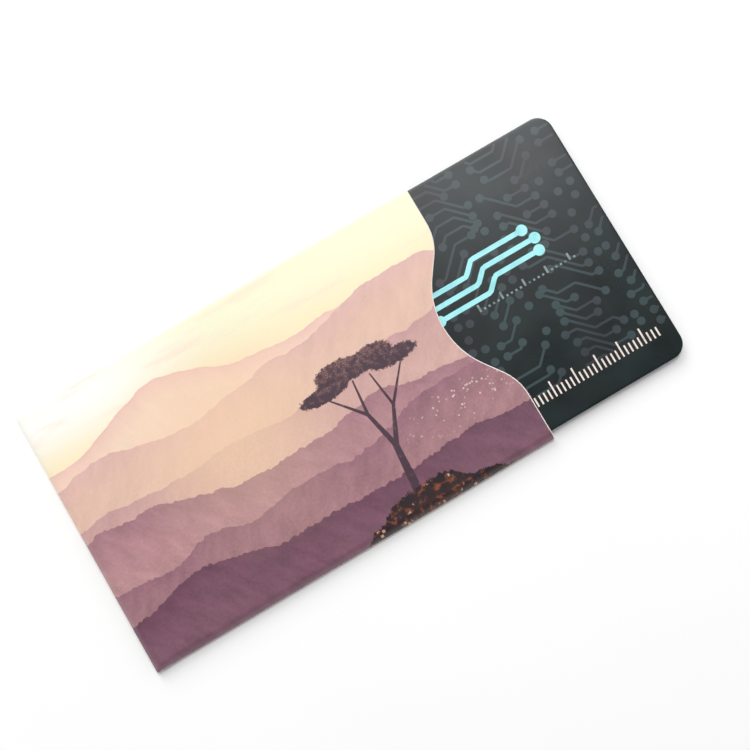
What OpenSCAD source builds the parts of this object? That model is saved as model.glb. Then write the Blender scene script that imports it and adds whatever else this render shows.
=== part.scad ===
// A folded card sleeve with a shielding foil in its wall, and the plastic card that slides in it.
// Millimetres. X runs along the sleeve towards its mouth, Y across it, and Z up out of the front.
// The origin is the middle of the sleeve's back face, which lies on the table.

/* [Card] */
// Length of the card
card_l = 85.6; // [80:0.1:92]
// Width of the card
card_w = 53.98; // [48:0.01:60]
// Corner radius of the card
card_corner_r = 3.18; // [2.5:0.01:5]
// Clear film over each face of the card
film_t = 0.05; // [0.03:0.01:0.1]
// Printed sheet under each film
face_sheet_t = 0.20; // [0.12:0.01:0.3]
// Inlay sheet that carries the antenna
inlay_t = 0.10; // [0.06:0.01:0.2]
// Space over the chip, under the printed sheet
chip_headroom = 0.015; // [0.01:0.005:0.05]

/* [Antenna and parts in the card] */
// Distance from the card's edge to the middle of the outer turn
coil_margin = 4; // [3:0.5:8]
// Turns in the antenna
coil_turns = 5; // [3:1:7]
// Width of the metal track
track_w = 0.6; // [0.4:0.05:0.9]
// Space between two tracks
track_gap = 0.5; // [0.3:0.05:0.9]
// Thickness of the metal track
track_t = 0.035; // [0.02:0.005:0.06]
// Distance from the coil's corner to the start of its outer turn
lead_in = 10; // [8:0.5:16]
// Space above the tracks, in the core sheet
track_headroom = 0.015; // [0.01:0.005:0.03]
// Space beside the tracks, in the core sheet
track_side_gap = 0.3; // [0.2:0.05:0.6]
// Distance between the two contact rails, middle to middle
rail_pitch = 2.4; // [2:0.1:3.2]
// Size of the chip along the card
chip_l = 3.6; // [3.4:0.1:5]
// Size of the chip across the card
chip_w = 3; // [2:0.1:4]
// Thickness of the chip and of the capacitor
chip_t = 0.11; // [0.06:0.01:0.18]
// Size of the capacitor along the card
cap_l = 3.2; // [3.1:0.1:4.2]
// Size of the capacitor across the card
cap_w = 1.6; // [1:0.1:2.4]
// Distance along the rails from one part to the next
part_spacing = 1.2; // [0.6:0.1:2]
// Space round the chip and the capacitor in their windows
window_gap = 0.25; // [0.1:0.05:0.5]
// Side of the crimped posts that join the bridge to the tracks
post_w = 0.8; // [0.5:0.1:1]
// Space round a crimped post in its hole
post_gap = 0.05; // [0.02:0.01:0.1]
// Width of the bridge under the inlay
bridge_w = 1.2; // [1:0.1:2]
// Space round the bridge in the sheet below it
bridge_gap = 0.1; // [0.05:0.05:0.3]

/* [Sleeve wall] */
// Printed board
board_t = 0.22; // [0.16:0.01:0.3]
// Shielding foil
foil_t = 0.03; // [0.02:0.01:0.06]
// Liner film on the inside of the foil
liner_t = 0.05; // [0.03:0.01:0.1]
// Outer radius of the folds
fold_r = 0.42; // [0.4:0.01:0.6]
// Flat steps in the bend of a fold
fold_steps = 8; // [5:1:12]
// How far a sloping edge reaches out past the flat of the front
edge_run = 1.1; // [1:0.05:2]
// Flat lip of a folded edge, beside its slope
edge_lip = 0.15; // [0.1:0.01:0.2]
// Radius of the corner between the glued side and the closed end
corner_r = 2; // [1.2:0.1:3]

/* [Fit of the card in the sleeve] */
// Clearance beside the card, each side, when it is in the middle
side_clear = 0.40; // [0.3:0.05:1]
// Clearance between the card's end and the closed end when it is fully in
end_clear = 0.30; // [0.2:0.05:1]
// How deep a card that is fully in lies inside the mouth
mouth_cover = 0.40; // [0.2:0.05:1]
// Clearance between the card and the flaps under it
under_clear = 0.06; // [0.04:0.01:0.2]
// Clearance between the card and the front
over_clear = 0.10; // [0.06:0.01:0.3]
// Length of card that stands out of the mouth
card_shown = 30.85; // [10:0.05:40]
// How far the card lies from the middle, towards the glued side
card_shift = 0.2; // [0:0.05:0.25]

/* [Thumb cut in the front] */
// Depth of the cut from the lips
cut_depth = 7.5; // [4:0.1:10]
// Half of the width of the cut between the straight lips
cut_half_w = 19.3; // [17:0.1:22]
// Radius of the hollow in the middle of the cut
hollow_r = 16.5; // [14:0.1:17.5]
// Radius of the rounded shoulders beside it
shoulder_r = 11; // [9:0.1:11.8]
// How far the cut lies from the middle, towards the glued side
cut_shift = 0.5; // [0:0.1:1]
// Steps round the hollow of the cut
cut_steps = 24; // [12:2:48]

/* [Glue flaps] */
// Width of the flap along the side
side_flap_w = 11; // [7:0.5:16]
// Width of the flap across the closed end
end_flap_w = 9; // [6:0.5:14]
// Taper of the free ends of the flaps, in degrees
flap_taper = 14; // [5:1:30]
// Space between a flap's end and the fold or flap beside it
flap_gap = 0.5; // [0.3:0.1:1]
// Thickness of the glue
glue_t = 0.04; // [0.02:0.01:0.08]
// Distance from the edge of a flap to its glue
glue_margin = 1.5; // [1:0.1:2.5]
// How far the cut edges of the back lie inside the folds over them
back_inset = 0.35; // [0.2:0.05:0.6]

/* [Hidden] */
$fn = 96;

// Sleeve: depths are counted from the printed face inwards
wall_t = board_t + foil_t + liner_t;
foil_top = board_t;
foil_bottom = board_t + foil_t;
fold_inner_r = fold_r - wall_t;
core_t = track_t + chip_t + chip_headroom;
card_t = 2 * film_t + 2 * face_sheet_t + inlay_t + core_t;
flap_z = wall_t + glue_t;
card_z = flap_z + wall_t + under_clear;
sleeve_h = card_z + card_t + over_clear + wall_t;
sleeve_w = card_w + 2 * (side_clear + edge_run);
sleeve_l = edge_run + end_clear + card_l + mouth_cover;
end_x = -sleeve_l / 2;
mouth_x = sleeve_l / 2;
side_y = sleeve_w / 2;
edge_band = edge_run + edge_lip;
spine_fold_z = fold_r;
flap_fold_z = flap_z + fold_r;
card_x = mouth_x + card_shown - card_l / 2;
past = 1;

// Card: heights are counted from its back
back_sheet_z = film_t;
inlay_z = back_sheet_z + face_sheet_t;
core_z = inlay_z + inlay_t;
front_sheet_z = core_z + core_t;
front_film_z = front_sheet_z + face_sheet_t;
track_pitch = track_w + track_gap;
coil_x = card_l / 2 - coil_margin;
coil_y = card_w / 2 - coil_margin;
coil_band = coil_turns * track_pitch;
start_x = -coil_x + lead_in;
rail_y = -coil_y + coil_band;
live_rail_x = start_x;
inner_rail_x = start_x - rail_pitch;
chip_y = rail_y + part_spacing;
cap_y = chip_y + chip_w + part_spacing;
rail_end_y = cap_y + cap_w + part_spacing / 2;
parts_x = (live_rail_x + inner_rail_x) / 2;

// Colours
print_colour = "#b58d8c";
print_back_colour = "#cdb2a8";
board_edge_colour = "#e9e2dc";
foil_colour = "#b9bcc0";
liner_colour = "#e4e6e8";
glue_colour = "#e8e2c8";
card_colour = "#252c2e";
film_colour = "#2c3537";
core_colour = "#d8dadb";
inlay_colour = "#c7cfc9";
track_colour = "#b87333";
chip_colour = "#15171a";
cap_colour = "#b79f7a";

function reversed(points) = [for (i = [len(points) - 1 : -1 : 0]) points[i]];

// Angle of the sloping edge that joins the flat of the front to a fold whose middle is fold_z high.
// Its inner face leaves the flat at edge_run and touches the inner radius of the fold.
function edge_lean(fold_z) =
    let (across = edge_run - fold_r, down = sleeve_h - wall_t - fold_z)
    atan2(down, across) - asin(fold_inner_r / norm([across, down]));

// One face of a folded edge, seen from its end, at a depth under the printed face: over the lip,
// down the slope and round the fold. The first number is the distance in from the outer edge.
function edge_face(fold_z, depth) =
    let (lean = edge_lean(fold_z), radius = fold_r - depth, turn = (180 - lean) / fold_steps)
    concat(
        [
            [edge_band, sleeve_h - depth],
            [edge_run - (wall_t - depth) * tan(lean / 2), sleeve_h - depth]
        ],
        [for (i = [0 : fold_steps])
            [fold_r - radius * sin(lean + i * turn), fold_z + radius * cos(lean + i * turn)]]
    );

module edge_section(fold_z, top, bottom) {
    polygon(concat(edge_face(fold_z, top), reversed(edge_face(fold_z, bottom))));
}

// The outline of the closed sleeve from above, with the one rounded corner
module sleeve_outline() {
    difference() {
        translate([end_x, -side_y]) square([sleeve_l, sleeve_w]);
        difference() {
            translate([end_x - past, side_y - corner_r]) square([corner_r + past, corner_r + past]);
            translate([end_x + corner_r, side_y - corner_r]) circle(corner_r);
        }
    }
}

// Points on a round, between two angles
function round_points(middle, radius, from, to, steps) =
    [for (i = [0 : steps])
        let (angle = from + (to - from) * i / steps)
        middle + radius * [cos(angle), sin(angle)]];

// The cut edge of the front, from above and from low to high: a shoulder that carries on from the
// straight lip, a flank, the round hollow in the middle, and the same again. Flanks touch the rounds.
function thumb_cut() =
    let (reach = hollow_r + shoulder_r,
         lean = atan2(cut_half_w, reach - cut_depth)
             - acos(reach / norm([reach - cut_depth, cut_half_w])),
         hollow = [mouth_x - cut_depth + hollow_r, cut_shift],
         low = [mouth_x - shoulder_r, cut_shift - cut_half_w],
         high = [mouth_x - shoulder_r, cut_shift + cut_half_w])
    concat(
        round_points(low, shoulder_r, 0, lean, cut_steps / 2),
        round_points(hollow, hollow_r, 180 + lean, 180 - lean, cut_steps),
        round_points(high, shoulder_r, -lean, 0, cut_steps / 2)
    );

// Regions of the folded sheet, each between two depths under the printed face

module front_sheet(top, bottom) {
    translate([0, 0, sleeve_h - bottom])
        linear_extrude(bottom - top)
            polygon(concat(
                [[end_x + edge_band, edge_band - side_y], [mouth_x, edge_band - side_y]],
                thumb_cut(),
                [[mouth_x, side_y - edge_band], [end_x + edge_band, side_y - edge_band]]
            ));
}

// A long folded edge along the side at -Y, cut at half a right angle where the end's edge meets it
module long_edge(fold_z, top, bottom) {
    intersection() {
        translate([end_x, -side_y, 0])
            rotate([90, 0, 90])
                linear_extrude(sleeve_l)
                    edge_section(fold_z, top, bottom);
        linear_extrude(sleeve_h)
            polygon([
                [end_x, -side_y], [mouth_x, -side_y],
                [mouth_x, edge_band - side_y], [end_x + edge_band, edge_band - side_y]
            ]);
    }
}

module spine_edge(top, bottom) {
    long_edge(spine_fold_z, top, bottom);
}

module side_edge(top, bottom) {
    intersection() {
        mirror([0, 1, 0]) long_edge(flap_fold_z, top, bottom);
        linear_extrude(sleeve_h) sleeve_outline();
    }
}

module end_edge(top, bottom) {
    intersection() {
        translate([end_x, side_y, 0])
            rotate([90, 0, 0])
                linear_extrude(sleeve_w)
                    edge_section(flap_fold_z, top, bottom);
        linear_extrude(sleeve_h)
            intersection() {
                polygon([
                    [end_x, -side_y], [end_x + edge_band, edge_band - side_y],
                    [end_x + edge_band, side_y - edge_band], [end_x, side_y]
                ]);
                sleeve_outline();
            }
    }
}

module back_sheet(top, bottom) {
    translate([end_x + back_inset, fold_r - side_y, top])
        cube([sleeve_l - back_inset, sleeve_w - fold_r - back_inset, bottom - top]);
}

// The flap folded in from the glued side, from above, less a margin all round
module side_flap_outline(margin = 0) {
    fold_y = side_y - fold_r - margin;
    free_y = side_y - fold_r - side_flap_w + margin;
    start = end_x + fold_r + flap_gap + margin;
    deep = fold_y - free_y;
    polygon([
        [start, fold_y],
        [mouth_x - margin, fold_y],
        [mouth_x - margin - deep * tan(flap_taper), free_y],
        [start + margin + deep, free_y]
    ]);
}

// The flap folded in from the closed end, from above, less a margin all round
module end_flap_outline(margin = 0) {
    fold_x = end_x + fold_r + margin;
    free_x = end_x + fold_r + end_flap_w - margin;
    top_y = side_y - fold_r - flap_gap - margin;
    low_y = fold_r - side_y + flap_gap + margin;
    deep = free_x - fold_x;
    polygon([
        [fold_x, low_y],
        [free_x, low_y + deep * tan(flap_taper)],
        [free_x, top_y - margin - deep],
        [fold_x, top_y]
    ]);
}

module side_tab(top, bottom) {
    translate([0, 0, flap_z + top]) linear_extrude(bottom - top) side_flap_outline();
}

module end_tab(top, bottom) {
    translate([0, 0, flap_z + top]) linear_extrude(bottom - top) end_flap_outline();
}

module whole_sheet(top, bottom) {
    front_sheet(top, bottom);
    spine_edge(top, bottom);
    side_edge(top, bottom);
    end_edge(top, bottom);
    back_sheet(top, bottom);
    side_tab(top, bottom);
    end_tab(top, bottom);
}

// Pieces of the sleeve

module front_panel() {
    color(print_colour) front_sheet(0, board_t);
}

module back_panel() {
    color(print_back_colour) back_sheet(0, board_t);
}

module spine_fold() {
    color(print_colour) spine_edge(0, board_t);
}

module side_fold() {
    color(print_colour) side_edge(0, board_t);
}

module end_fold() {
    color(print_colour) end_edge(0, board_t);
}

module side_flap() {
    color(board_edge_colour) side_tab(0, board_t);
}

module end_flap() {
    color(board_edge_colour) end_tab(0, board_t);
}

module shield_foil() {
    color(foil_colour) whole_sheet(foil_top, foil_bottom);
}

module inner_liner() {
    color(liner_colour) whole_sheet(foil_bottom, wall_t);
}

module side_glue_line() {
    color(glue_colour)
        translate([0, 0, wall_t]) linear_extrude(glue_t) side_flap_outline(glue_margin);
}

module end_glue_line() {
    color(glue_colour)
        translate([0, 0, wall_t]) linear_extrude(glue_t) end_flap_outline(glue_margin);
}

// Pieces of the card, in the card's own place: its middle, and its back face

module in_card() {
    translate([card_x, card_shift, card_z]) children();
}

module card_outline() {
    square([card_l - 2 * card_corner_r, card_w], center = true);
    square([card_l, card_w - 2 * card_corner_r], center = true);
    for (x = [-1, 1], y = [-1, 1])
        translate([x * (card_l / 2 - card_corner_r), y * (card_w / 2 - card_corner_r)])
            circle(card_corner_r);
}

module card_sheet(low, thick) {
    translate([0, 0, low]) linear_extrude(thick) card_outline();
}

// A straight track between two points on one row or one column
module track(from, to) {
    low = [min(from[0], to[0]), min(from[1], to[1])];
    high = [max(from[0], to[0]), max(from[1], to[1])];
    translate([low[0] - track_w / 2, low[1] - track_w / 2, core_z])
        cube([high[0] - low[0] + track_w, high[1] - low[1] + track_w, track_t]);
}

// One turn of the coil, inset by its place in the row: along the low side, up, back and down again
module coil_turn(turn) {
    inset = turn * track_pitch;
    right = coil_x - inset;
    top = coil_y - inset;
    corners = [
        [turn == 0 ? start_x : inset - track_pitch - coil_x, -top],
        [right, -top],
        [right, top],
        [-right, top],
        [-right, track_pitch - top]
    ];
    for (i = [0 : len(corners) - 2]) track(corners[i], corners[i + 1]);
}

module antenna_coil() {
    last_x = (coil_turns - 1) * track_pitch - coil_x;
    color(track_colour) in_card() {
        for (turn = [0 : coil_turns - 1]) coil_turn(turn);
        track([last_x, rail_y], [inner_rail_x, rail_y]);
        track([inner_rail_x, rail_y], [inner_rail_x, rail_end_y]);
        track([live_rail_x, rail_y], [live_rail_x, rail_end_y]);
    }
}

module posts(grow, low, tall) {
    for (y = [-coil_y, rail_y])
        translate([start_x - post_w / 2 - grow, y - post_w / 2 - grow, low])
            cube([post_w + 2 * grow, post_w + 2 * grow, tall]);
}

module bridge_strap(grow, thick) {
    translate([start_x - bridge_w / 2 - grow, -coil_y - bridge_w / 2 - grow, inlay_z - thick])
        cube([bridge_w + 2 * grow, coil_band + bridge_w + 2 * grow, thick]);
}

module coil_bridge() {
    color(track_colour) in_card() {
        bridge_strap(0, track_t);
        posts(0, inlay_z, inlay_t);
    }
}

module part_block(long, wide, low_y, grow, low, thick) {
    translate([parts_x - long / 2 - grow, low_y - grow, low])
        cube([long + 2 * grow, wide + 2 * grow, thick]);
}

module jammer_chip() {
    color(chip_colour) in_card() part_block(chip_l, chip_w, chip_y, 0, core_z + track_t, chip_t);
}

module tuning_capacitor() {
    color(cap_colour) in_card() part_block(cap_l, cap_w, cap_y, 0, core_z + track_t, chip_t);
}

module card_front_film() {
    color(film_colour) in_card() card_sheet(front_film_z, film_t);
}

module card_front_sheet() {
    color(card_colour) in_card() card_sheet(front_sheet_z, face_sheet_t);
}

// A window in the core sheet, right through it, for the chip or the capacitor
module window(long, wide, low_y) {
    part_block(long, wide, low_y, window_gap, core_z - past, core_t + 2 * past);
}

module track_relief() {
    outer = track_w / 2 + track_side_gap;
    inner = coil_band + track_w / 2 + track_side_gap;
    translate([0, 0, core_z - past])
        linear_extrude(past + track_t + track_headroom) {
            difference() {
                square(2 * [coil_x + outer, coil_y + outer], center = true);
                square(2 * [coil_x - inner, coil_y - inner], center = true);
            }
            translate([inner_rail_x - outer, rail_y - outer])
                square([rail_pitch + 2 * outer, rail_end_y - rail_y + 2 * outer]);
        }
}

module card_core_sheet() {
    color(core_colour) in_card()
        difference() {
            card_sheet(core_z, core_t);
            track_relief();
            window(chip_l, chip_w, chip_y);
            window(cap_l, cap_w, cap_y);
        }
}

module card_inlay_sheet() {
    color(inlay_colour) in_card()
        difference() {
            card_sheet(inlay_z, inlay_t);
            posts(post_gap, inlay_z - past, inlay_t + 2 * past);
        }
}

module card_back_sheet() {
    color(card_colour) in_card()
        difference() {
            card_sheet(back_sheet_z, face_sheet_t);
            translate([0, 0, past]) bridge_strap(bridge_gap, track_t + past);
        }
}

module card_back_film() {
    color(film_colour) in_card() card_sheet(0, film_t);
}

front_panel();
back_panel();
spine_fold();
side_fold();
end_fold();
side_flap();
end_flap();
shield_foil();
inner_liner();
side_glue_line();
end_glue_line();
card_front_film();
card_front_sheet();
card_core_sheet();
card_inlay_sheet();
antenna_coil();
coil_bridge();
jammer_chip();
tuning_capacitor();
card_back_sheet();
card_back_film();
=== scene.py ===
"""Looks of a folded card sleeve and the plastic card in it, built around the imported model.

The sleeve is one die-cut blank of three plies: printed board, shielding foil and a liner film.
Each ply is an offset of one smooth folded surface. The card is a stack of laminated sheets, and
its print is laid out by Geometry Nodes. Places are in metres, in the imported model's frame, and
the patterns of the materials are in millimetres.
"""

import logging
import math
from dataclasses import dataclass, field
from enum import Enum

import bmesh
import bpy
from mathutils import Matrix, Vector


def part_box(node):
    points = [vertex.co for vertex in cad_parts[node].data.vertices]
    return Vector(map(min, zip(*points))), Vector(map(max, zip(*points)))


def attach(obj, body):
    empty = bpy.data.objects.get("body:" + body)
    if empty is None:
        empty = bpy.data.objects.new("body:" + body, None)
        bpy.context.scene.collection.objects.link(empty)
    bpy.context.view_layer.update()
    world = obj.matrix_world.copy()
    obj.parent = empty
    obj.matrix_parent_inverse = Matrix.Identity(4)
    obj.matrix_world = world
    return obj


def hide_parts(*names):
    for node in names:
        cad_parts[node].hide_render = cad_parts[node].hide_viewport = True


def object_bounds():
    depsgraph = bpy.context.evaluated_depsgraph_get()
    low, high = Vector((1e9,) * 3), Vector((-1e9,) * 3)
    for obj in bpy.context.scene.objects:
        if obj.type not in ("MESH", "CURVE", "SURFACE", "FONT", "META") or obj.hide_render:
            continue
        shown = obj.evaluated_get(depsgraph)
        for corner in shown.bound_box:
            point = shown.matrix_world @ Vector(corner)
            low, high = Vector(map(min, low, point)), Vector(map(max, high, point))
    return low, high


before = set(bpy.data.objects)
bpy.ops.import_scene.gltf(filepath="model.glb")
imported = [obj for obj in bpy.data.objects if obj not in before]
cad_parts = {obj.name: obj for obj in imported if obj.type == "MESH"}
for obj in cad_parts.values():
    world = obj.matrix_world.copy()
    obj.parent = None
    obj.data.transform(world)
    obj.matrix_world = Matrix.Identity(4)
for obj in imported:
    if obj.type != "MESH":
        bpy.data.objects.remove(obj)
CAD_LOW, CAD_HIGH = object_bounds()

LOG = logging.getLogger("card_sleeve")
MM = 0.001
MICRON = 0.000001
WHITE = (1.0, 1.0, 1.0, 1.0)
MOST = (0.3, 0.7)  # the range that most values of a noise pattern lie in

Socket = bpy.types.NodeSocket
Sockets = bpy.types.bpy_prop_collection
Pair = tuple[float, float]
Triple = tuple[float, float, float]
Colour = tuple[float, float, float, float]
Value = Socket | float | Triple | Colour | bpy.types.Material  # what can go into a socket


def ink(code: str) -> Colour:
    """Turn a screen colour into the linear colour that a shader takes, by the sRGB curve.

    Args:
        code: Six hexadecimal digits after a hash sign.

    Returns:
        Red, green, blue and a full alpha.
    """
    parts = [int(code[i : i + 2], 16) / 255 for i in (1, 3, 5)]
    linear = [p / 12.92 if p <= 0.04045 else ((p + 0.055) / 1.055) ** 2.4 for p in parts]
    return (*linear, 1.0)


def smooth(low: float, high: float, value: float) -> float:
    """Give the share, eased at both ends, at which value lies between low and high."""
    share = min(1.0, max(0.0, (value - low) / (high - low)))
    return share * share * (3 - 2 * share)


def direction(height: float, side: float) -> Vector:
    """Return the way to a point of the sky, from its angle over the floor and from +X."""
    level = math.cos(height)
    return Vector((level * math.cos(side), level * math.sin(side), math.sin(height)))


@dataclass(frozen=True)
class Band:
    """A range of values and what its ends are mapped to, softly or in a straight line."""

    low: float
    high: float
    start: float = 0.0
    end: float = 1.0
    eased: bool = True


@dataclass(frozen=True)
class Bumps:
    """A relief: the share of it that shows, and its full height."""

    strength: float
    microns: float


class Graph:
    """A node tree while it is wired: most methods add nodes and hand back an output."""

    WAVE_ROUGHNESS = 0.42
    WAVE_GAIN = 4.0  # brings most of the noise's middle range to -1 to 1
    MIX_INPUTS = (0, 6, 7)  # share and colours, among all the inputs of a Mix node
    MIX_RESULT = 2

    def __init__(self, tree: bpy.types.NodeTree) -> None:
        """Start on a tree, emptied of the nodes that Blender puts there."""
        self.tree = tree
        tree.nodes.clear()

    def feed(self, socket: Socket, value: Value) -> None:
        """Link an output to a socket, or set a constant on it.

        Args:
            socket: An input of a node.
            value: An output of another node, or a constant.
        """
        if isinstance(value, Socket):
            self.tree.links.new(value, socket)
        else:
            socket.default_value = value

    def node(self, kind: str, inputs: dict | None = None, **settings: object) -> bpy.types.Node:
        """Add one node.

        Args:
            kind: Blender's name for the node's type.
            inputs: Values or outputs, by the name or the number of the socket they go to.
            settings: Properties of the node itself.

        Returns:
            The new node.
        """
        made = self.tree.nodes.new(kind)
        for name, value in settings.items():
            setattr(made, name, value)
        for key, value in (inputs or {}).items():
            self.feed(made.inputs[key], value)
        return made

    def out(self, kind: str, inputs: dict | None = None, **settings: object) -> Socket:
        """Add one node, as node does, and return its first output."""
        return self.node(kind, inputs, **settings).outputs[0]

    def math(self, operation: str, *values: Value, clamp: bool = False) -> Socket:
        """Add a Math node and return its result."""
        return self.out("ShaderNodeMath", dict(enumerate(values)), operation=operation,
                        use_clamp=clamp)

    def product(self, *values: Value) -> Socket:
        """Multiply several numbers.

        Args:
            values: Outputs or constants.

        Returns:
            Their product.
        """
        result = values[0]
        for value in values[1:]:
            result = self.math("MULTIPLY", result, value)
        return result

    def vector(self, operation: str, *values: Value) -> Socket:
        """Add a Vector Math node.

        Args:
            operation: Blender's name for what it does.
            values: What it works on.

        Returns:
            Its result, which is a number for some operations.
        """
        slots = (0, 3) if operation == "SCALE" else (0, 1, 2)
        made = self.node("ShaderNodeVectorMath", dict(zip(slots, values)), operation=operation)
        number = operation in ("LENGTH", "DOT_PRODUCT", "DISTANCE")
        return made.outputs["Value" if number else "Vector"]

    def axes(self, place: Socket) -> tuple[Socket, ...]:
        """Return the three numbers of a place."""
        return tuple(self.node("ShaderNodeSeparateXYZ", {0: place}).outputs)

    def join(self, *values: Value) -> Socket:
        """Return a place made of up to three numbers."""
        return self.out("ShaderNodeCombineXYZ", dict(enumerate(values)))

    def turn(self, place: Socket, angle: float) -> Socket:
        """Return a place turned about the vertical."""
        return self.out("ShaderNodeVectorRotate", {"Vector": place, "Angle": angle})

    def mix(self, share: Value, a: Value, b: Value) -> Socket:
        """Mix two colours by a share and return the result."""
        inputs = dict(zip(self.MIX_INPUTS, (share, a, b)))
        return self.node("ShaderNodeMix", inputs, data_type="RGBA").outputs[self.MIX_RESULT]

    def span(self, value: Value, low: Value, high: Value, start: Value = 0.0,
             end: Value = 1.0, eased: bool = True) -> Socket:
        """Map a value from one range to another and hold it at the ends.

        Args:
            value: What is mapped.
            low: The value that gives start.
            high: The value that gives end.
            start: Result at low.
            end: Result at high.
            eased: True for a soft start and end.

        Returns:
            The mapped value.
        """
        return self.out("ShaderNodeMapRange", {0: value, 1: low, 2: high, 3: start, 4: end},
                        interpolation_type="SMOOTHSTEP" if eased else "LINEAR")

    def fit(self, value: Socket, band: Band) -> Socket:
        """Map a value as a band says, and hold it at the ends."""
        return self.span(value, band.low, band.high, band.start, band.end, band.eased)

    def wave(self, along: Socket, offset: float, wavelength: float, detail: float) -> Socket:
        """Add a smooth random curve over one coordinate.

        Args:
            along: The coordinate.
            offset: Where the curve starts, which picks one curve of many.
            wavelength: About the distance between two crests.
            detail: Number of finer layers.

        Returns:
            The curve, from about -1 to 1.
        """
        place = self.math("MULTIPLY_ADD", along, 1 / wavelength, offset)
        made = self.node("ShaderNodeTexNoise", noise_dimensions="1D", inputs={
            "W": place, "Scale": 1.0, "Detail": detail, "Roughness": self.WAVE_ROUGHNESS})
        gain = self.WAVE_GAIN
        return self.math("MULTIPLY_ADD", made.outputs["Fac"], gain, -gain / 2)

    def millimetres(self) -> Socket:
        """Return the place on the piece in millimetres."""
        place = self.node("ShaderNodeTexCoord").outputs["Object"]
        return self.vector("SCALE", place, 1 / MM)

    def bump(self, height: Socket, bumps: Bumps, under: Socket | None = None) -> Socket:
        """Add a relief.

        Args:
            height: Its pattern, from 0 to 1.
            bumps: Its strength and height.
            under: A normal from a relief below this one.

        Returns:
            The normal.
        """
        inputs = {"Height": height, "Strength": bumps.strength,
                  "Distance": bumps.microns * MICRON}
        if under is not None:
            inputs["Normal"] = under
        return self.out("ShaderNodeBump", inputs)


@dataclass(frozen=True)
class Mottle:
    """A noise pattern and the band that it is mapped by.

    Its scale is in waves per millimetre, as one number or as one for each axis.
    """

    scale: float | Triple
    detail: float
    rough: float
    band: Band = Band(*MOST)

    def plain(self, graph: Graph, place: Socket, output: str = "Fac") -> Socket:
        """Add the pattern as it is.

        Args:
            graph: The material's tree.
            place: The place in millimetres.
            output: Fac for one channel, Color for three.

        Returns:
            The pattern, from 0 to 1.
        """
        scale = self.scale
        if isinstance(scale, tuple):
            place = graph.vector("MULTIPLY", place, scale)
            scale = 1.0
        inputs = {"Vector": place, "Scale": scale, "Detail": self.detail, "Roughness": self.rough}
        return graph.node("ShaderNodeTexNoise", inputs).outputs[output]

    def on(self, graph: Graph, place: Socket) -> Socket:
        """Add the pattern, as plain does, and map it by its band."""
        return graph.fit(self.plain(graph, place), self.band)


class Finish:
    """Base of the finishes: makes one material, the first time that it is asked for."""

    name: str

    def material(self) -> bpy.types.Material:
        """Make this finish's material, or find it where it was made before.

        Returns:
            The material.
        """
        made = bpy.data.materials.get(self.name)
        if made is None:
            made = bpy.data.materials.new(self.name)
            made.use_nodes = True
            graph = Graph(made.node_tree)
            shader = graph.node("ShaderNodeBsdfPrincipled")
            self.wire(graph, shader.inputs)
            shown = self.lit(graph, shader.outputs[0])
            graph.node("ShaderNodeOutputMaterial", {"Surface": shown})
        return made

    def wire(self, graph: Graph, surface: Sockets) -> None:
        """Connect the finish's pattern to the shader's sockets."""
        raise NotImplementedError

    def lit(self, graph: Graph, surface: Socket) -> Socket:
        """Return what the material shows, which is its shader unless a finish adds to it."""
        return surface

    def coat(self, graph: Graph, surface: Sockets, colour: Value, rough: Value,
             normal: Socket) -> None:
        """Feed the three sockets that nearly every finish sets.

        Args:
            graph: The material's tree.
            surface: The shader's sockets.
            colour: The base colour.
            rough: The roughness.
            normal: The normal.
        """
        graph.feed(surface["Base Color"], colour)
        graph.feed(surface["Roughness"], rough)
        graph.feed(surface["Normal"], normal)


@dataclass(frozen=True)
class Ridge:
    """One range of hills in the printed landscape, in millimetres on the sleeve."""

    crest: float
    roll: float
    wavelength: float
    seed: float
    top: str
    foot: str
    fade: float
    texture: float
    peak: float
    rise: float
    spread: float


@dataclass(frozen=True)
class Limb:
    """A tapering trunk or branch of the printed tree, in millimetres on the sleeve."""

    start: Pair
    end: Pair
    thick: float
    thin: float


@dataclass(frozen=True)
class Crown:
    """A leafy ellipse of the printed tree, in millimetres on the sleeve."""

    middle: Pair
    half: Pair


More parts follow.
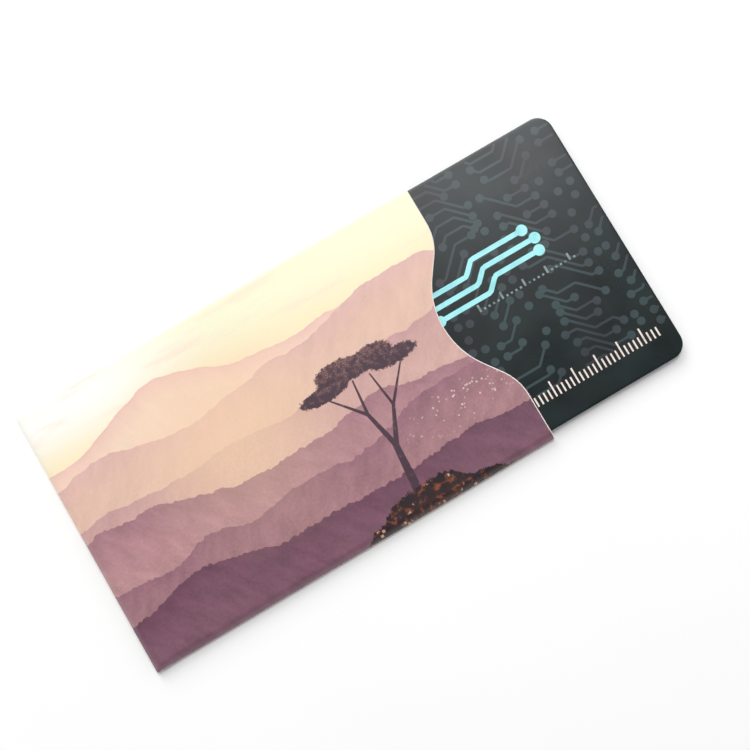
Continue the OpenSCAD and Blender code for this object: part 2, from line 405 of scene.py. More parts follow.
@dataclass
class Landscape:
    """The sleeve's print while it is drawn: hazy hills at dusk, and one tree on a knoll."""

    graph: Graph
    place: Socket
    x: Socket
    y: Socket
    sky_left: str = "#fcfbf6"
    sky_right: str = "#f3f2d2"
    sky_low: str = "#f8e7bf"
    sky_turn: Band = Band(-34.0, 4.0)
    sky_sink: Band = Band(24.0, 12.0)
    cloud: str = "#f6e0cb"
    veil: Mottle = Mottle((0.05, 0.30, 1.0), 4.0, 0.55, Band(0.50, 0.72, 0.0, 0.55))
    haze: str = "#f0cbab"
    haze_place: Triple = (-9.0, 2.0, 0.0)
    haze_share: Band = Band(27.0, 0.0, 0.0, 0.62)
    haze_after: int = 2
    haze_again: float = 0.45
    ridges: tuple[Ridge, ...] = (
        Ridge(14.0, 1.5, 26, 3.7, "#e9c0b5", "#f2d6c0", 4.5, 0.04, -17, 6.2, 24),
        Ridge(10.5, 1.4, 21, 15.2, "#dcb3ac", "#e0bba9", 6.0, 0.07, 31, 6.5, 25),
        Ridge(1.5, 1.7, 24, 11.2, "#c59a99", "#d0a89f", 8.0, 0.10, 38, 5.0, 28),
        Ridge(-5.5, 2.0, 27, 23.9, "#a2757f", "#b98c8f", 10, 0.16, -37, 6.5, 25),
        Ridge(-12.0, 1.5, 19, 37.4, "#926774", "#a67b80", 9, 0.19, 38, 5.0, 27),
        Ridge(-19.5, 1.6, 22, 56.1, "#6d4659", "#7c5565", 8, 0.22, -24, 3.6, 26),
    )
    crest_edge: Band = Band(-0.09, 0.09)
    fine_waves: float = 9.0
    fine_roll: float = 0.09
    tree_spacing: float = 1.1
    foot_curve: float = 0.7
    spur_lean: float = 0.62
    spur_stretch: Triple = (0.42, 0.17, 1.0)
    spurs: Mottle = Mottle(1.0, 5.0, 0.6)
    spur_share: float = 1.5
    woods: Mottle = Mottle(1.9, 4.0, 0.65)
    wood_share: float = 0.7
    relief_range: Pair = (0.75, 1.45)
    grain: Mottle = Mottle(1.5, 5.0, 0.75, Band(*MOST, -0.075, 0.075, eased=False))
    grain_fade: Band = Band(14.0, -16.0, 0.2, 1.0)
    speck: str = "#efd9c8"
    speck_scale: float = 1.25
    speck_size: Band = Band(0.33, 0.18)
    speck_place: Triple = (31.0, -13.5, 0.0)
    speck_reach: Triple = (15.0, 5.0, 1.0)
    speck_near: Band = Band(1.0, 0.4, 0.0, 0.8)
    speck_patch: Mottle = Mottle(0.42, 3.0, 0.6, Band(0.45, 0.55))
    ground: Ridge = Ridge(-30.5, 1.1, 9, 63.3, "#241920", "#3a2526", 5, 0.35, 18, 7.4, 26)
    blade_pitch: float = 2.3
    tuft_wave: Triple = (8.1, 2.6, 1.0)
    tuft_height: Band = Band(0.1, 1.2, 0.0, 1.7)
    rust: str = "#8c4c31"
    rust_patch: Mottle = Mottle(0.55, 4.0, 0.65, Band(0.50, 0.66, 0.0, 0.85))
    stone: str = "#d9ae92"
    stone_scale: float = 0.95
    stone_size: Band = Band(0.30, 0.22)
    stone_patch: Mottle = Mottle(0.38, 3.0, 0.7, Band(0.50, 0.58, 0.0, 0.85))
    tree_colour: str = "#47323e"
    tree_light: str = "#946b66"
    ragged: Mottle = Mottle(1.7, 4.0, 0.7)
    ragged_reach: Pair = (2.6, 1.9)
    canopy_edge: Band = Band(-0.05, 0.12)
    wood_edge: Band = Band(-0.05, 0.06)
    clumps: Mottle = Mottle(0.95, 3.0, 0.6)
    top_light: Band = Band(-1.0, 5.5, -0.10, 0.10, eased=False)
    clump_light: Band = Band(0.44, 0.66, 0.0, 0.85)
    leaves: Mottle = Mottle(4.2, 2.0, 0.6, Band(0.40, 0.56))
    limbs: tuple[Limb, ...] = (
        Limb((16.0, -26.5), (16.9, -14.0), 1.0, 0.62),
        Limb((16.9, -14.0), (15.2, -6.5), 0.55, 0.38),
        Limb((16.9, -14.4), (20.4, -7.2), 0.55, 0.34),
        Limb((15.2, -6.5), (10.2, -0.6), 0.36, 0.16),
        Limb((15.2, -6.5), (15.9, 0.6), 0.34, 0.16),
        Limb((20.4, -7.2), (19.4, 0.2), 0.30, 0.15),
        Limb((20.4, -7.2), (25.6, -0.9), 0.32, 0.15),
    )
    crowns: tuple[Crown, ...] = (
        Crown((17.6, 2.9), (8.4, 2.1)),
        Crown((9.9, 1.0), (5.4, 1.6)),
        Crown((25.0, 0.9), (5.2, 1.6)),
        Crown((14.0, 4.0), (4.6, 1.7)),
        Crown((21.2, 3.6), (4.4, 1.6)),
    )
    dusk_low: str = "#84596a"
    dusk_high: str = "#f3d7bd"
    dusk_rise: Band = Band(-18.0, 30.0)
    mist: Mottle = Mottle((0.03, 0.12, 0.0), 4.0, 0.55)
    mist_lift: float = 18.0
    keyline: str = "#fbeede"
    keyline_at: Pair = (39.6, 24.4)
    keyline_half: Band = Band(0.26, 0.18, 0.0, 0.9)

    def crest(self, ridge: Ridge) -> Socket:
        """Draw the line of a range's crest.

        Args:
            ridge: The range.

        Returns:
            The crest's height over the length of the sleeve.
        """
        graph = self.graph
        height = ridge.crest
        layers = (
            (ridge.seed, ridge.wavelength, 3.0, ridge.roll),
            (ridge.seed * 2, ridge.wavelength / self.fine_waves, 2.0,
             ridge.roll * self.fine_roll),
            (ridge.seed * 3, self.tree_spacing, 2.0, ridge.texture),
        )
        for seed, length, detail, strength in layers:
            line = graph.wave(self.x, seed, length, detail)
            height = graph.math("MULTIPLY_ADD", line, strength, height)
        away = graph.math("ABSOLUTE", graph.math("SUBTRACT", self.x, ridge.peak))
        return graph.math("ADD", height, graph.span(away, ridge.spread, 0.0, 0.0, ridge.rise))

    def under(self, crest: Socket) -> tuple[Socket, Socket]:
        """Measure how far the place lies under a crest.

        Args:
            crest: The crest's height.

        Returns:
            The depth in millimetres, and 1 under the crest and 0 over it with a soft edge.
        """
        below = self.graph.math("SUBTRACT", crest, self.y)
        return below, self.graph.fit(below, self.crest_edge)

    def shaded(self, colour: Socket, shade: Socket) -> Socket:
        """Return a colour times a shade."""
        return self.graph.vector("MULTIPLY", colour, self.graph.join(shade, shade, shade))

    def relief(self, colour: Socket, ridge: Ridge) -> Socket:
        """Lay light and shade on a range's wooded spurs.

        Args:
            colour: The range's colour.
            ridge: The range.

        Returns:
            The shaded colour.
        """
        graph = self.graph
        slant = graph.turn(self.place, math.copysign(self.spur_lean, ridge.peak))
        spread = graph.vector("MULTIPLY", slant, self.spur_stretch)
        shifted = graph.vector("ADD", spread, (ridge.seed, ridge.peak, 0.0))
        woods = graph.math("MULTIPLY", self.woods.plain(graph, self.place), self.wood_share)
        both = graph.math("MULTIPLY_ADD", self.spurs.plain(graph, shifted), self.spur_share,
                          woods)
        shade = graph.span(both, *self.relief_range, 1 - ridge.texture, 1 + ridge.texture,
                           eased=False)
        return self.shaded(colour, shade)

    def hills(self, picture: Socket, ridge: Ridge) -> Socket:
        """Lay one range of hills over the picture.

        Args:
            picture: The picture so far.
            ridge: The range.

        Returns:
            The picture with the range in front.
        """
        graph = self.graph
        below, inside = self.under(self.crest(ridge))
        depth = graph.math("POWER", graph.span(below, 0.0, ridge.fade, eased=False),
                           self.foot_curve)
        colour = graph.mix(depth, ink(ridge.top), ink(ridge.foot))
        return graph.mix(inside, picture, self.relief(colour, ridge))

    def specks(self, picture: Socket) -> Socket:
        """Scatter the pale specks of a far village.

        Args:
            picture: The picture so far.

        Returns:
            The picture with the specks.
        """
        graph = self.graph
        cells = graph.node("ShaderNodeTexVoronoi",
                           {"Vector": self.place, "Scale": self.speck_scale})
        dot = graph.fit(cells.outputs["Distance"], self.speck_size)
        offset = graph.vector("SUBTRACT", self.place, self.speck_place)
        reach = graph.vector("LENGTH", graph.vector("DIVIDE", offset, self.speck_reach))
        share = graph.product(dot, self.speck_patch.on(graph, self.place),
                              graph.fit(reach, self.speck_near))
        return graph.mix(share, picture, ink(self.speck))

    def knoll(self, picture: Socket) -> Socket:
        """Lay the dark knoll under the tree, with stones and dry grass.

        Args:
            picture: The picture so far.

        Returns:
            The picture with the knoll in front.
        """
        graph = self.graph
        blades = graph.math("PINGPONG", graph.math("MULTIPLY", self.x, self.blade_pitch), 0.5)
        tuft = graph.fit(graph.wave(self.x, *self.tuft_wave), self.tuft_height)
        top = graph.math("MULTIPLY_ADD", blades, tuft, self.crest(self.ground))
        below, inside = self.under(top)
        depth = graph.span(below, 0.0, self.ground.fade, eased=False)
        colour = graph.mix(depth, ink(self.ground.top), ink(self.ground.foot))
        colour = graph.mix(self.rust_patch.on(graph, self.place), colour, ink(self.rust))
        cells = graph.node("ShaderNodeTexVoronoi",
                           {"Vector": self.place, "Scale": self.stone_scale},
                           feature="F1", distance="CHEBYCHEV")
        lit = graph.fit(cells.outputs["Distance"], self.stone_size)
        stones = graph.product(lit, self.stone_patch.on(graph, self.place))
        colour = graph.mix(stones, colour, ink(self.stone))
        return graph.mix(inside, picture, self.relief(colour, self.ground))

    def limb(self, limb: Limb) -> Socket:
        """Measure how far inside a limb the place is.

        Args:
            limb: The limb.

        Returns:
            The depth in millimetres.
        """
        graph = self.graph
        start = Vector((*limb.start, 0))
        along = Vector((*limb.end, 0)) - start
        from_start = graph.vector("SUBTRACT", self.place, tuple(start))
        share = graph.vector("DOT_PRODUCT", from_start, tuple(along / along.length_squared))
        share = graph.math("ADD", share, 0.0, clamp=True)
        gap = graph.vector("DISTANCE", from_start, graph.vector("SCALE", tuple(along), share))
        reach = graph.math("MULTIPLY_ADD", share, limb.thin - limb.thick, limb.thick)
        return graph.math("SUBTRACT", reach, gap)

    def crown(self, place: Socket, crown: Crown) -> Socket:
        """Measure how far inside a leafy ellipse a place is.

        Args:
            place: The place, shaken by the leaves.
            crown: The ellipse.

        Returns:
            The depth, about in millimetres.
        """
        graph = self.graph
        offset = graph.vector("SUBTRACT", place, (*crown.middle, 0.0))
        size = graph.vector("LENGTH", graph.vector("DIVIDE", offset, (*crown.half, 1.0)))
        return graph.math("MULTIPLY", graph.math("SUBTRACT", 1.0, size), crown.half[1])

    def deepest(self, depths: list[Socket]) -> Socket:
        """Find the greatest of several depths.

        Args:
            depths: The depths.

        Returns:
            The greatest.
        """
        most = depths[0]
        for depth in depths[1:]:
            most = self.graph.math("MAXIMUM", most, depth)
        return most

    def tree(self, picture: Socket) -> Socket:
        """Lay the tree over the picture.

        Args:
            picture: The picture so far.

        Returns:
            The picture with the tree in front.
        """
        graph = self.graph
        wide, deep = self.ragged_reach
        leafy = graph.vector("MULTIPLY_ADD", self.ragged.plain(graph, self.place, "Color"),
                             (wide, deep, 0.0), self.place)
        leafy = graph.vector("SUBTRACT", leafy, (wide / 2, deep / 2, 0.0))
        canopy = self.deepest([self.crown(leafy, crown) for crown in self.crowns])
        wood = self.deepest([self.limb(limb) for limb in self.limbs])
        mask = graph.math("MAXIMUM", graph.fit(canopy, self.canopy_edge),
                          graph.fit(wood, self.wood_edge))
        lit = graph.math("ADD", self.clumps.plain(graph, self.place),
                         graph.fit(self.y, self.top_light))
        light = graph.product(graph.fit(lit, self.clump_light),
                              self.leaves.on(graph, self.place))
        colour = graph.mix(light, ink(self.tree_colour), ink(self.tree_light))
        return graph.mix(mask, picture, colour)

    def draw(self) -> Socket:
        """Draw the front.

        Returns:
            Its colour.
        """
        graph = self.graph
        picture = graph.mix(graph.fit(self.x, self.sky_turn), ink(self.sky_left),
                            ink(self.sky_right))
        picture = graph.mix(graph.fit(self.y, self.sky_sink), picture, ink(self.sky_low))
        picture = graph.mix(self.veil.on(graph, self.place), picture, ink(self.cloud))
        away = graph.vector("DISTANCE", self.place, self.haze_place)
        warm = graph.fit(away, self.haze_share)
        for number, ridge in enumerate(self.ridges):
            picture = self.hills(picture, ridge)
            if number == self.haze_after:
                picture = graph.mix(warm, picture, ink(self.haze))
        again = graph.math("MULTIPLY", warm, self.haze_again)
        picture = graph.mix(again, picture, ink(self.haze))
        picture = self.knoll(self.tree(self.specks(picture)))
        swing = graph.product(self.grain.on(graph, self.place),
                              graph.fit(self.y, self.grain_fade))
        return self.shaded(picture, graph.math("ADD", swing, 1.0))

    def reverse(self) -> Socket:
        """Draw the back: a plain evening gradient in a pale keyline.

        Returns:
            Its colour.
        """
        graph = self.graph
        level = graph.math("MULTIPLY_ADD", self.mist.plain(graph, self.place), self.mist_lift,
                           self.y)
        tone = graph.mix(graph.fit(level, self.dusk_rise), ink(self.dusk_low),
                         ink(self.dusk_high))
        gaps = [graph.math("SUBTRACT", graph.math("ABSOLUTE", at), line)
                for at, line in zip((self.x, self.y), self.keyline_at)]
        line = graph.math("ABSOLUTE", graph.math("MAXIMUM", *gaps))
        return graph.mix(graph.fit(line, self.keyline_half), tone, ink(self.keyline))


@dataclass(frozen=True)
class PrintedBoard(Finish):
    """Board with its laminated print, rubbed pale in a thin line along the folds."""

    name: str = "dusk_print"
    front_over: Band = Band(0.30, 0.42)
    bare: str = "#fff4ea"
    chips: Mottle = Mottle(3.2, 4.0, 0.7)
    chipped: Band = Band(0.62, 0.92)
    smear: Mottle = Mottle(0.09, 3.0, 0.55, Band(*MOST, 0.35, 0.46))
    fibre: Mottle = Mottle(5.0, 4.0, 0.6)
    fibre_bumps: Bumps = Bumps(0.22, 10)
    dents: Mottle = Mottle(0.35, 2.0, 0.5)
    dent_bumps: Bumps = Bumps(0.5, 30)

    def wire(self, graph: Graph, surface: Sockets) -> None:
        """Connect print, wear, satin film and paper grain.

        Args:
            graph: The material's tree.
            surface: The shader's sockets.
        """
        place = graph.millimetres()
        x, y, level = graph.axes(place)
        picture = Landscape(graph, graph.vector("MULTIPLY", place, (1.0, 1.0, 0.0)), x, y)
        colour = graph.mix(graph.fit(level, self.front_over), picture.reverse(),
                           picture.draw())
        worn = graph.node("ShaderNodeAttribute", attribute_name="wear").outputs["Fac"]
        chips = graph.math("SUBTRACT", self.chips.plain(graph, place), 0.5)
        chipped = graph.fit(graph.math("ADD", worn, chips), self.chipped)
        colour = graph.mix(chipped, colour, ink(self.bare))
        grain = graph.bump(self.fibre.plain(graph, place), self.fibre_bumps)
        self.coat(graph, surface, colour, self.smear.on(graph, place),
                  graph.bump(self.dents.plain(graph, place), self.dent_bumps, grain))


@dataclass(frozen=True)
class CutBoard(Finish):
    """The bare edge of die-cut board: layered pale fibre."""

    name: str = "cut_board"
    pale: str = "#f6eee8"
    grey: str = "#d9cdc6"
    roughness: float = 0.85
    layers: Mottle = Mottle((2.0, 2.0, 26.0), 4.0, 0.65)
    bumps: Bumps = Bumps(0.5, 30)

    def wire(self, graph: Graph, surface: Sockets) -> None:
        """Connect fibre colour and relief.

        Args:
            graph: The material's tree.
            surface: The shader's sockets.
        """
        fibre = self.layers.plain(graph, graph.millimetres())
        self.coat(graph, surface, graph.mix(fibre, ink(self.grey), ink(self.pale)),
                  self.roughness, graph.bump(fibre, self.bumps))


@dataclass(frozen=True)
class Foil(Finish):
    """Thin rolled aluminium with faint roll lines and crinkles."""

    name: str = "rolled_foil"
    bright: str = "#e3e5e7"
    dull: str = "#bfc2c6"
    roll: Mottle = Mottle((0.4, 14.0, 1.0), 3.0, 0.6)
    gloss: Band = Band(*MOST, 0.22, 0.38)
    crinkle: Mottle = Mottle(0.8, 4.0, 0.55)
    bumps: Bumps = Bumps(0.6, 40)

    def wire(self, graph: Graph, surface: Sockets) -> None:
        """Connect roll lines and crinkles.

        Args:
            graph: The material's tree.
            surface: The shader's sockets.
        """
        place = graph.millimetres()
        lines = self.roll.plain(graph, place)
        surface["Metallic"].default_value = 1.0
        self.coat(graph, surface, graph.mix(lines, ink(self.dull), ink(self.bright)),
                  graph.fit(lines, self.gloss),
                  graph.bump(self.crinkle.plain(graph, place), self.bumps))


class Plastic(Enum):
    """The plain plastics of the part: each value is dark tone, pale tone, gloss and grain size."""

    LINER = ("#ced2d4", "#eceff0", 0.36, 0.9)
    CORE = ("#d3d5d6", "#eeefef", 0.55, 2.5)
    INLAY = ("#b3c1b9", "#d3dcd6", 0.48, 1.6)
    DARK_SHEET = ("#14191b", "#242b2d", 0.50, 2.0)
    CHIP = ("#0f1113", "#26292d", 0.62, 6.0)
    CERAMIC = ("#a38a64", "#cbb48d", 0.50, 4.0)
    GLUE = ("#c9bf94", "#efe9cc", 0.42, 0.7)


@dataclass(frozen=True)
class PlainPlastic(Finish):
    """One of the plain plastics, mottled at its own scale."""

    kind: Plastic
    detail: float = 4.0
    rough: float = 0.6
    swing: float = 0.07
    bumps: Bumps = Bumps(0.3, 20)

    @property
    def name(self) -> str:
        """The material's name."""
        return f"{self.kind.name.lower()}_finish"

    def wire(self, graph: Graph, surface: Sockets) -> None:
        """Connect mottling and a fine relief.

        Args:
            graph: The material's tree.
            surface: The shader's sockets.
        """
        dark, pale, gloss, scale = self.kind.value
        mottle = Mottle(scale, self.detail, self.rough).plain(graph, graph.millimetres())
        self.coat(graph, surface, graph.mix(graph.span(mottle, *MOST), ink(dark), ink(pale)),
                  graph.span(mottle, *MOST, gloss - self.swing, gloss + self.swing),
                  graph.bump(mottle, self.bumps))


@dataclass(frozen=True)
class Copper(Finish):
    """Etched copper of the antenna, a little tarnished."""

    name: str = "etched_copper"
    bright: str = "#d08f5f"
    dull: str = "#9c5c3a"
    tarnish: Mottle = Mottle(0.5, 4.0, 0.6, Band(0.35, 0.7))
    gloss: Band = Band(*MOST, 0.28, 0.5)
    etch: Mottle = Mottle(12.0, 3.0, 0.6)
    bumps: Bumps = Bumps(0.35, 10)

    def wire(self, graph: Graph, surface: Sockets) -> None:
        """Connect tarnish and etch grain.

        Args:
            graph: The material's tree.
            surface: The shader's sockets.
        """
        place = graph.millimetres()
        tarnish = self.tarnish.plain(graph, place)
        share = graph.fit(tarnish, self.tarnish.band)
        surface["Metallic"].default_value = 1.0
        self.coat(graph, surface, graph.mix(share, ink(self.bright), ink(self.dull)),
                  graph.fit(tarnish, self.gloss),
                  graph.bump(self.etch.plain(graph, place), self.bumps))


@dataclass(frozen=True)
class SatinFilm(Finish):
    """Base of the two finishes that lie under the card's satin film."""

    satin: Mottle = Mottle(9.0, 3.0, 0.6)
    bumps: Bumps = Bumps(0.25, 8)

    def texture(self, graph: Graph, place: Socket) -> Socket:
        """Return the normal of the film's fine texture."""
        return graph.bump(self.satin.plain(graph, place), self.bumps)


@dataclass(frozen=True)
class CardFace(SatinFilm):
    """Near-black print under the film, with faint mottling and hair scratches."""

    name: str = "card_face"
    dark: str = "#10191a"
    pale: str = "#182425"
    cloudy: Mottle = Mottle(0.12, 3.0, 0.5)
    hair_lean: float = 0.7
    hairs: Mottle = Mottle((0.05, 4.0, 1.0), 4.0, 0.7, Band(0.66, 0.74))
    hair_shine: float = -0.08
    smear: Mottle = Mottle(0.07, 3.0, 0.6, Band(*MOST, 0.27, 0.35))

    def wire(self, graph: Graph, surface: Sockets) -> None:
        """Connect mottling, satin texture and scratches.

        Args:
            graph: The material's tree.
            surface: The shader's sockets.
        """
        place = graph.millimetres()
        scratch = self.hairs.on(graph, graph.turn(place, self.hair_lean))
        rough = graph.math("MULTIPLY_ADD", scratch, self.hair_shine,
                           self.smear.on(graph, place))
        colour = graph.mix(self.cloudy.on(graph, place), ink(self.dark), ink(self.pale))
        self.coat(graph, surface, colour, rough, self.texture(graph, place))


@dataclass(frozen=True)
class CardInk(SatinFilm):
    """An ink of the card's print, laid unevenly so that the dark ground shows through."""

    name: str = "ink"
    full: str = "#ffffff"
    thin: str = "#ffffff"
    cover: float = 0.5
    scale: float = 0.08
    detail: float = 2.0
    rough: float = 0.5
    swing: float = 0.16
    roughness: float = 0.31

    def wire(self, graph: Graph, surface: Sockets) -> None:
        """Connect the uneven cover and the film's satin texture.

        Args:
            graph: The material's tree.
            surface: The shader's sockets.
        """
        place = graph.millimetres()
        band = Band(self.cover - self.swing, self.cover + self.swing)
        patch = Mottle(self.scale, self.detail, self.rough, band)
        colour = graph.mix(patch.on(graph, place), ink(self.thin), ink(self.full))
        self.coat(graph, surface, colour, self.roughness, self.texture(graph, place))


def new_piece(name: str, mesh: bpy.types.Mesh) -> bpy.types.Object:
    """Put a mesh into the scene as a piece of its own, at the origin.

    Args:
        name: The piece's name.
        mesh: Its mesh.

    Returns:
        The piece.
    """
    piece = bpy.data.objects.new(name, mesh)
    bpy.context.scene.collection.objects.link(piece)
    return piece


def shell_piece(name: str, made: bmesh.types.BMesh, finishes: tuple[Finish, ...],
                sharp: float = 180.0) -> bpy.types.Object:
    """Turn a mesh that was built in code into a piece, smooth but for its sharp edges.

    Args:
        name: The piece's name.
        made: The mesh, which is freed.
        finishes: One for each material number of its faces.
        sharp: Angle in degrees from which an edge is sharp.

    Returns:
        The piece.
    """
    for face in made.faces:
        face.smooth = True
    mesh = bpy.data.meshes.new(name)
    made.to_mesh(mesh)
    made.free()
    for finish in finishes:
        mesh.materials.append(finish.material())
    mesh.set_sharp_from_angle(angle=math.radians(sharp))
    return new_piece(name, mesh)


def dress(node: str, finish: Finish) -> bpy.types.Object:
    """Give a carried CAD node its finish in place of its plain colour.

    Args:
        node: The node's name.
        finish: Its finish.

    Returns:
        The node's object.
    """
    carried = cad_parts[node]
    carried.data.materials.clear()
    carried.data.materials.append(finish.material())
    return carried


@dataclass
class FoldedSheet:
    """The outer face of the folded blank, as a mesh of quads that each ply is offset from.

    Distances called inset run inwards from the sleeve's outline, seen from above.
    """

    closed_x: float
    mouth_x: float
    half_width: float
    height: float
    wall: float
    fold_radius: float
    flap_level: float
    edge_run: float = 1.1 * MM
    corner_radius: float = 2.0 * MM
    bend_radius: float = 1.6 * MM
    corner_crease: float = 0.68 * MM
    corner_blend: float = 6.0 * MM
    cut_depth: float = 7.5 * MM
    cut_half_width: float = 19.3 * MM
    hollow_radius: float = 16.5 * MM
    shoulder_radius: float = 11.0 * MM
    cut_shift: float = 0.5 * MM
    side_flap_width: float = 11.0 * MM
    end_flap_width: float = 9.0 * MM
    flap_taper: float = math.radians(14)
    flap_gap: float = 0.5 * MM
    back_inset: float = 0.35 * MM
    dip: float = 0.03 * MM
    dip_band: float = 0.4 * MM
    sway_lengths: tuple[float, ...] = (9.1 * MM, 7.3 * MM, 5.2 * MM, 6.1 * MM)
    sway_starts: Triple = (0.6, -0.4, 1.9)
    sway_share: float = 0.6
    rub_inset: float = 0.09 * MM
    step: float = 1.1 * MM
    row_step: float = 0.55 * MM
    edge_lines: Triple = (0.0, 0.3 * MM, 0.8 * MM)
    square_zone: float = 1.6 * MM
    ease_zone: float = 12 * MM
    bend_steps: int = 7
    slope_steps: int = 3
    fold_steps: int = 6
    turn_steps: int = 5
    round_steps: int = 9
    side_flap_rows: int = 8
    end_flap_rows: int = 7
    merge_under: float = 0.001 * MM
    dissolve_under: float = 0.0005 * MM
    points: list[Vector] = field(default_factory=list)
    wear: list[float] = field(default_factory=list)
    faces: list[tuple[int, ...]] = field(default_factory=list)

    def mouth_at(self, y: float) -> Triple:
        """Find the cut edge of the front on one line along the sleeve.

        Args:
            y: The line's place across the sleeve.

        Returns:
            The edge's x, and the x and y of its outward normal.
        """
        reach = self.hollow_radius + self.shoulder_radius
        rise = reach - self.cut_depth
        lean = math.atan2(self.cut_half_width, rise)
        lean -= math.acos(reach / math.hypot(rise, self.cut_half_width))
        across = abs(y - self.cut_shift)
        deepest = self.mouth_x - self.cut_depth
        flank = self.hollow_radius * math.sin(lean)
        if across >= self.cut_half_width:
            return self.mouth_x, 1.0, 0.0
        if across >= self.cut_half_width - self.shoulder_radius * math.sin(lean):
            angle = math.asin((self.cut_half_width - across) / self.shoulder_radius)
            x = self.mouth_x - self.shoulder_radius * (1 - math.cos(angle))
        elif across <= flank:
            angle = math.asin(across / self.hollow_radius)
            x = deepest + self.hollow_radius * (1 - math.cos(angle))
        else:
            angle = lean
            x = deepest + self.hollow_radius * (1 - math.cos(lean))
            x += (across - flank) * math.tan(lean)
        side = 1 if y > self.cut_shift else -1
        return x, math.cos(angle), -side * math.sin(angle)

    def profile(self, crease: float, foot: float) -> list[Triple]:
        """Draw a folded edge from its end, from the flat of the front round to the underside.

        Args:
            crease: Height of the outermost line of the fold.
            foot: Height of its underside.

        Returns:
            Inset, height and wear of each point.
        """
        radius = self.fold_radius
        across = self.edge_run - radius
        down = self.height - self.wall - crease
        lean = math.atan2(down, across)
        lean -= math.asin((radius - self.wall) / math.hypot(across, down))
        bend = self.edge_run - self.wall * math.tan(lean / 2)
        bend += self.bend_radius * math.tan(lean / 2)
        line = [(self.corner_radius, self.height), (bend, self.height)]
        for i in range(1, self.bend_steps + 1):
            angle = lean * i / self.bend_steps
            line.append((bend - self.bend_radius * math.sin(angle),
                         self.height - self.bend_radius * (1 - math.cos(angle))))
        last = line[-1]
        touch = (radius * (1 - math.sin(lean)), crease + radius * math.cos(lean))
        for i in range(1, self.slope_steps + 1):
            share = i / self.slope_steps
            line.append((last[0] + (touch[0] - last[0]) * share,
                         last[1] + (touch[1] - last[1]) * share))
        for i in range(1, self.fold_steps + 1):
            angle = lean + (math.pi / 2 - lean) * i / self.fold_steps
            line.append((radius * (1 - math.sin(angle)), crease + radius * math.cos(angle)))
        for i in range(1, self.fold_steps + 1):
            angle = math.pi / 2 * (1 + i / self.fold_steps)
            line.append((radius * (1 - math.sin(angle)),
                         crease + (crease - foot) * math.cos(angle)))
        rubbed = self.rub_inset
        return [(inset, z, max(0.0, 1 - abs(inset - rubbed) / rubbed) if z > crease else 0.0)
                for inset, z in line]

    def add(self, x: float, y: float, z: float, wear: float = 0.0) -> int:
        """Add a point.

        Args:
            x: Its place along the sleeve.
            y: Its place across the sleeve.
            z: Its height.
            wear: How far the print is rubbed off there, up to 1.

        Returns:
            Its number.
        """
        self.points.append(Vector((x, y, z)))
        self.wear.append(wear)
        return len(self.points) - 1

    def skin(self, rows: list[list[int]]) -> None:
        """Fill the quads between rows of points."""
        for low, high in zip(rows, rows[1:]):
            self.faces += zip(low, low[1:], high[1:], high)

    def lines_along(self) -> list[float]:
        """Space the columns of the front, finer near its cut edge.

        Returns:
            Shares of the way from the closed end to the cut edge.
        """
        length = self.mouth_x - self.closed_x - self.corner_radius
        count = round((length - self.square_zone) / self.step)
        places = [(length - self.square_zone) * i / count for i in range(count + 1)]
        places += [length - near for near in reversed(self.edge_lines)]
        return [place / length for place in places]

    def lines_across(self) -> list[float]:
        """Space the rows of the front evenly.

        Returns:
            Their places across the sleeve.
        """
        half = self.half_width - self.corner_radius
        count = round(2 * half / self.row_step)
        return [half * (2 * i / count - 1) for i in range(count + 1)]

    def front(self) -> list[list[int]]:
        """Make the front.

        Near the cut edge the points of a row leave the row's line, so that they meet it square.

        Returns:
            Its rows of points, each from the closed end to the mouth.
        """
        start = self.closed_x + self.corner_radius
        rows = []
        for y in self.lines_across():
            edge, out_x, out_y = self.mouth_at(y)
            row = []
            for share in self.lines_along():
                inset = (edge - start) * (1 - share)
                slide = min(inset, self.square_zone)
                back = inset - slide + slide * out_x
                shift = slide * out_y * smooth(self.ease_zone, self.square_zone, inset)
                wear = 1.0 if share == 1.0 else 0.0
                row.append(self.add(edge - back, y - shift, self.height, wear))
            rows.append(row)
        self.skin(rows)
        return rows

    def section(self, inner: int, spot: Triple, inward: Triple, foot: float,
                away: float = math.inf) -> list[int]:
        """Add the points of one cross-section of a folded edge.

        Args:
            inner: The point of the front that the section starts at.
            spot: The place on the outline where it ends, seen from above.
            inward: Step inwards for one unit of inset.
            foot: Height of the fold's underside.
            away: Distance from the corner that both folds share, where their creases meet.

        Returns:
            The section's points, from the front to the underside.
        """
        crease = foot + self.fold_radius
        crease += (self.corner_crease - crease) * smooth(self.corner_blend, 0.0, away)
        made = [inner]
        for inset, z, rub in self.profile(crease, foot)[1:]:
            at = Vector(spot) + Vector(inward) * inset
            made.append(self.add(at.x, at.y, z, rub))
        return made

    def spine(self, front: list[list[int]]) -> list[list[int]]:
        """Make the fold between front and back.

        Args:
            front: The front's rows of points.

        Returns:
            The fold's sections, from the closed end's corner to the mouth.
        """
        radius = self.corner_radius
        sections = []
        for i in range(self.turn_steps, 0, -1):
            share = i / self.turn_steps
            spot = (self.closed_x + radius - share * radius, -self.half_width, 0)
            sections.append(self.section(front[0][0], spot, (share, 1, 0), 0.0,
                                         radius * (1 - share)))
        for number in front[0]:
            x = self.points[number].x
            sections.append(self.section(number, (x, -self.half_width, 0), (0, 1, 0), 0.0,
                                         x - self.closed_x))
        self.skin(sections)
        return sections

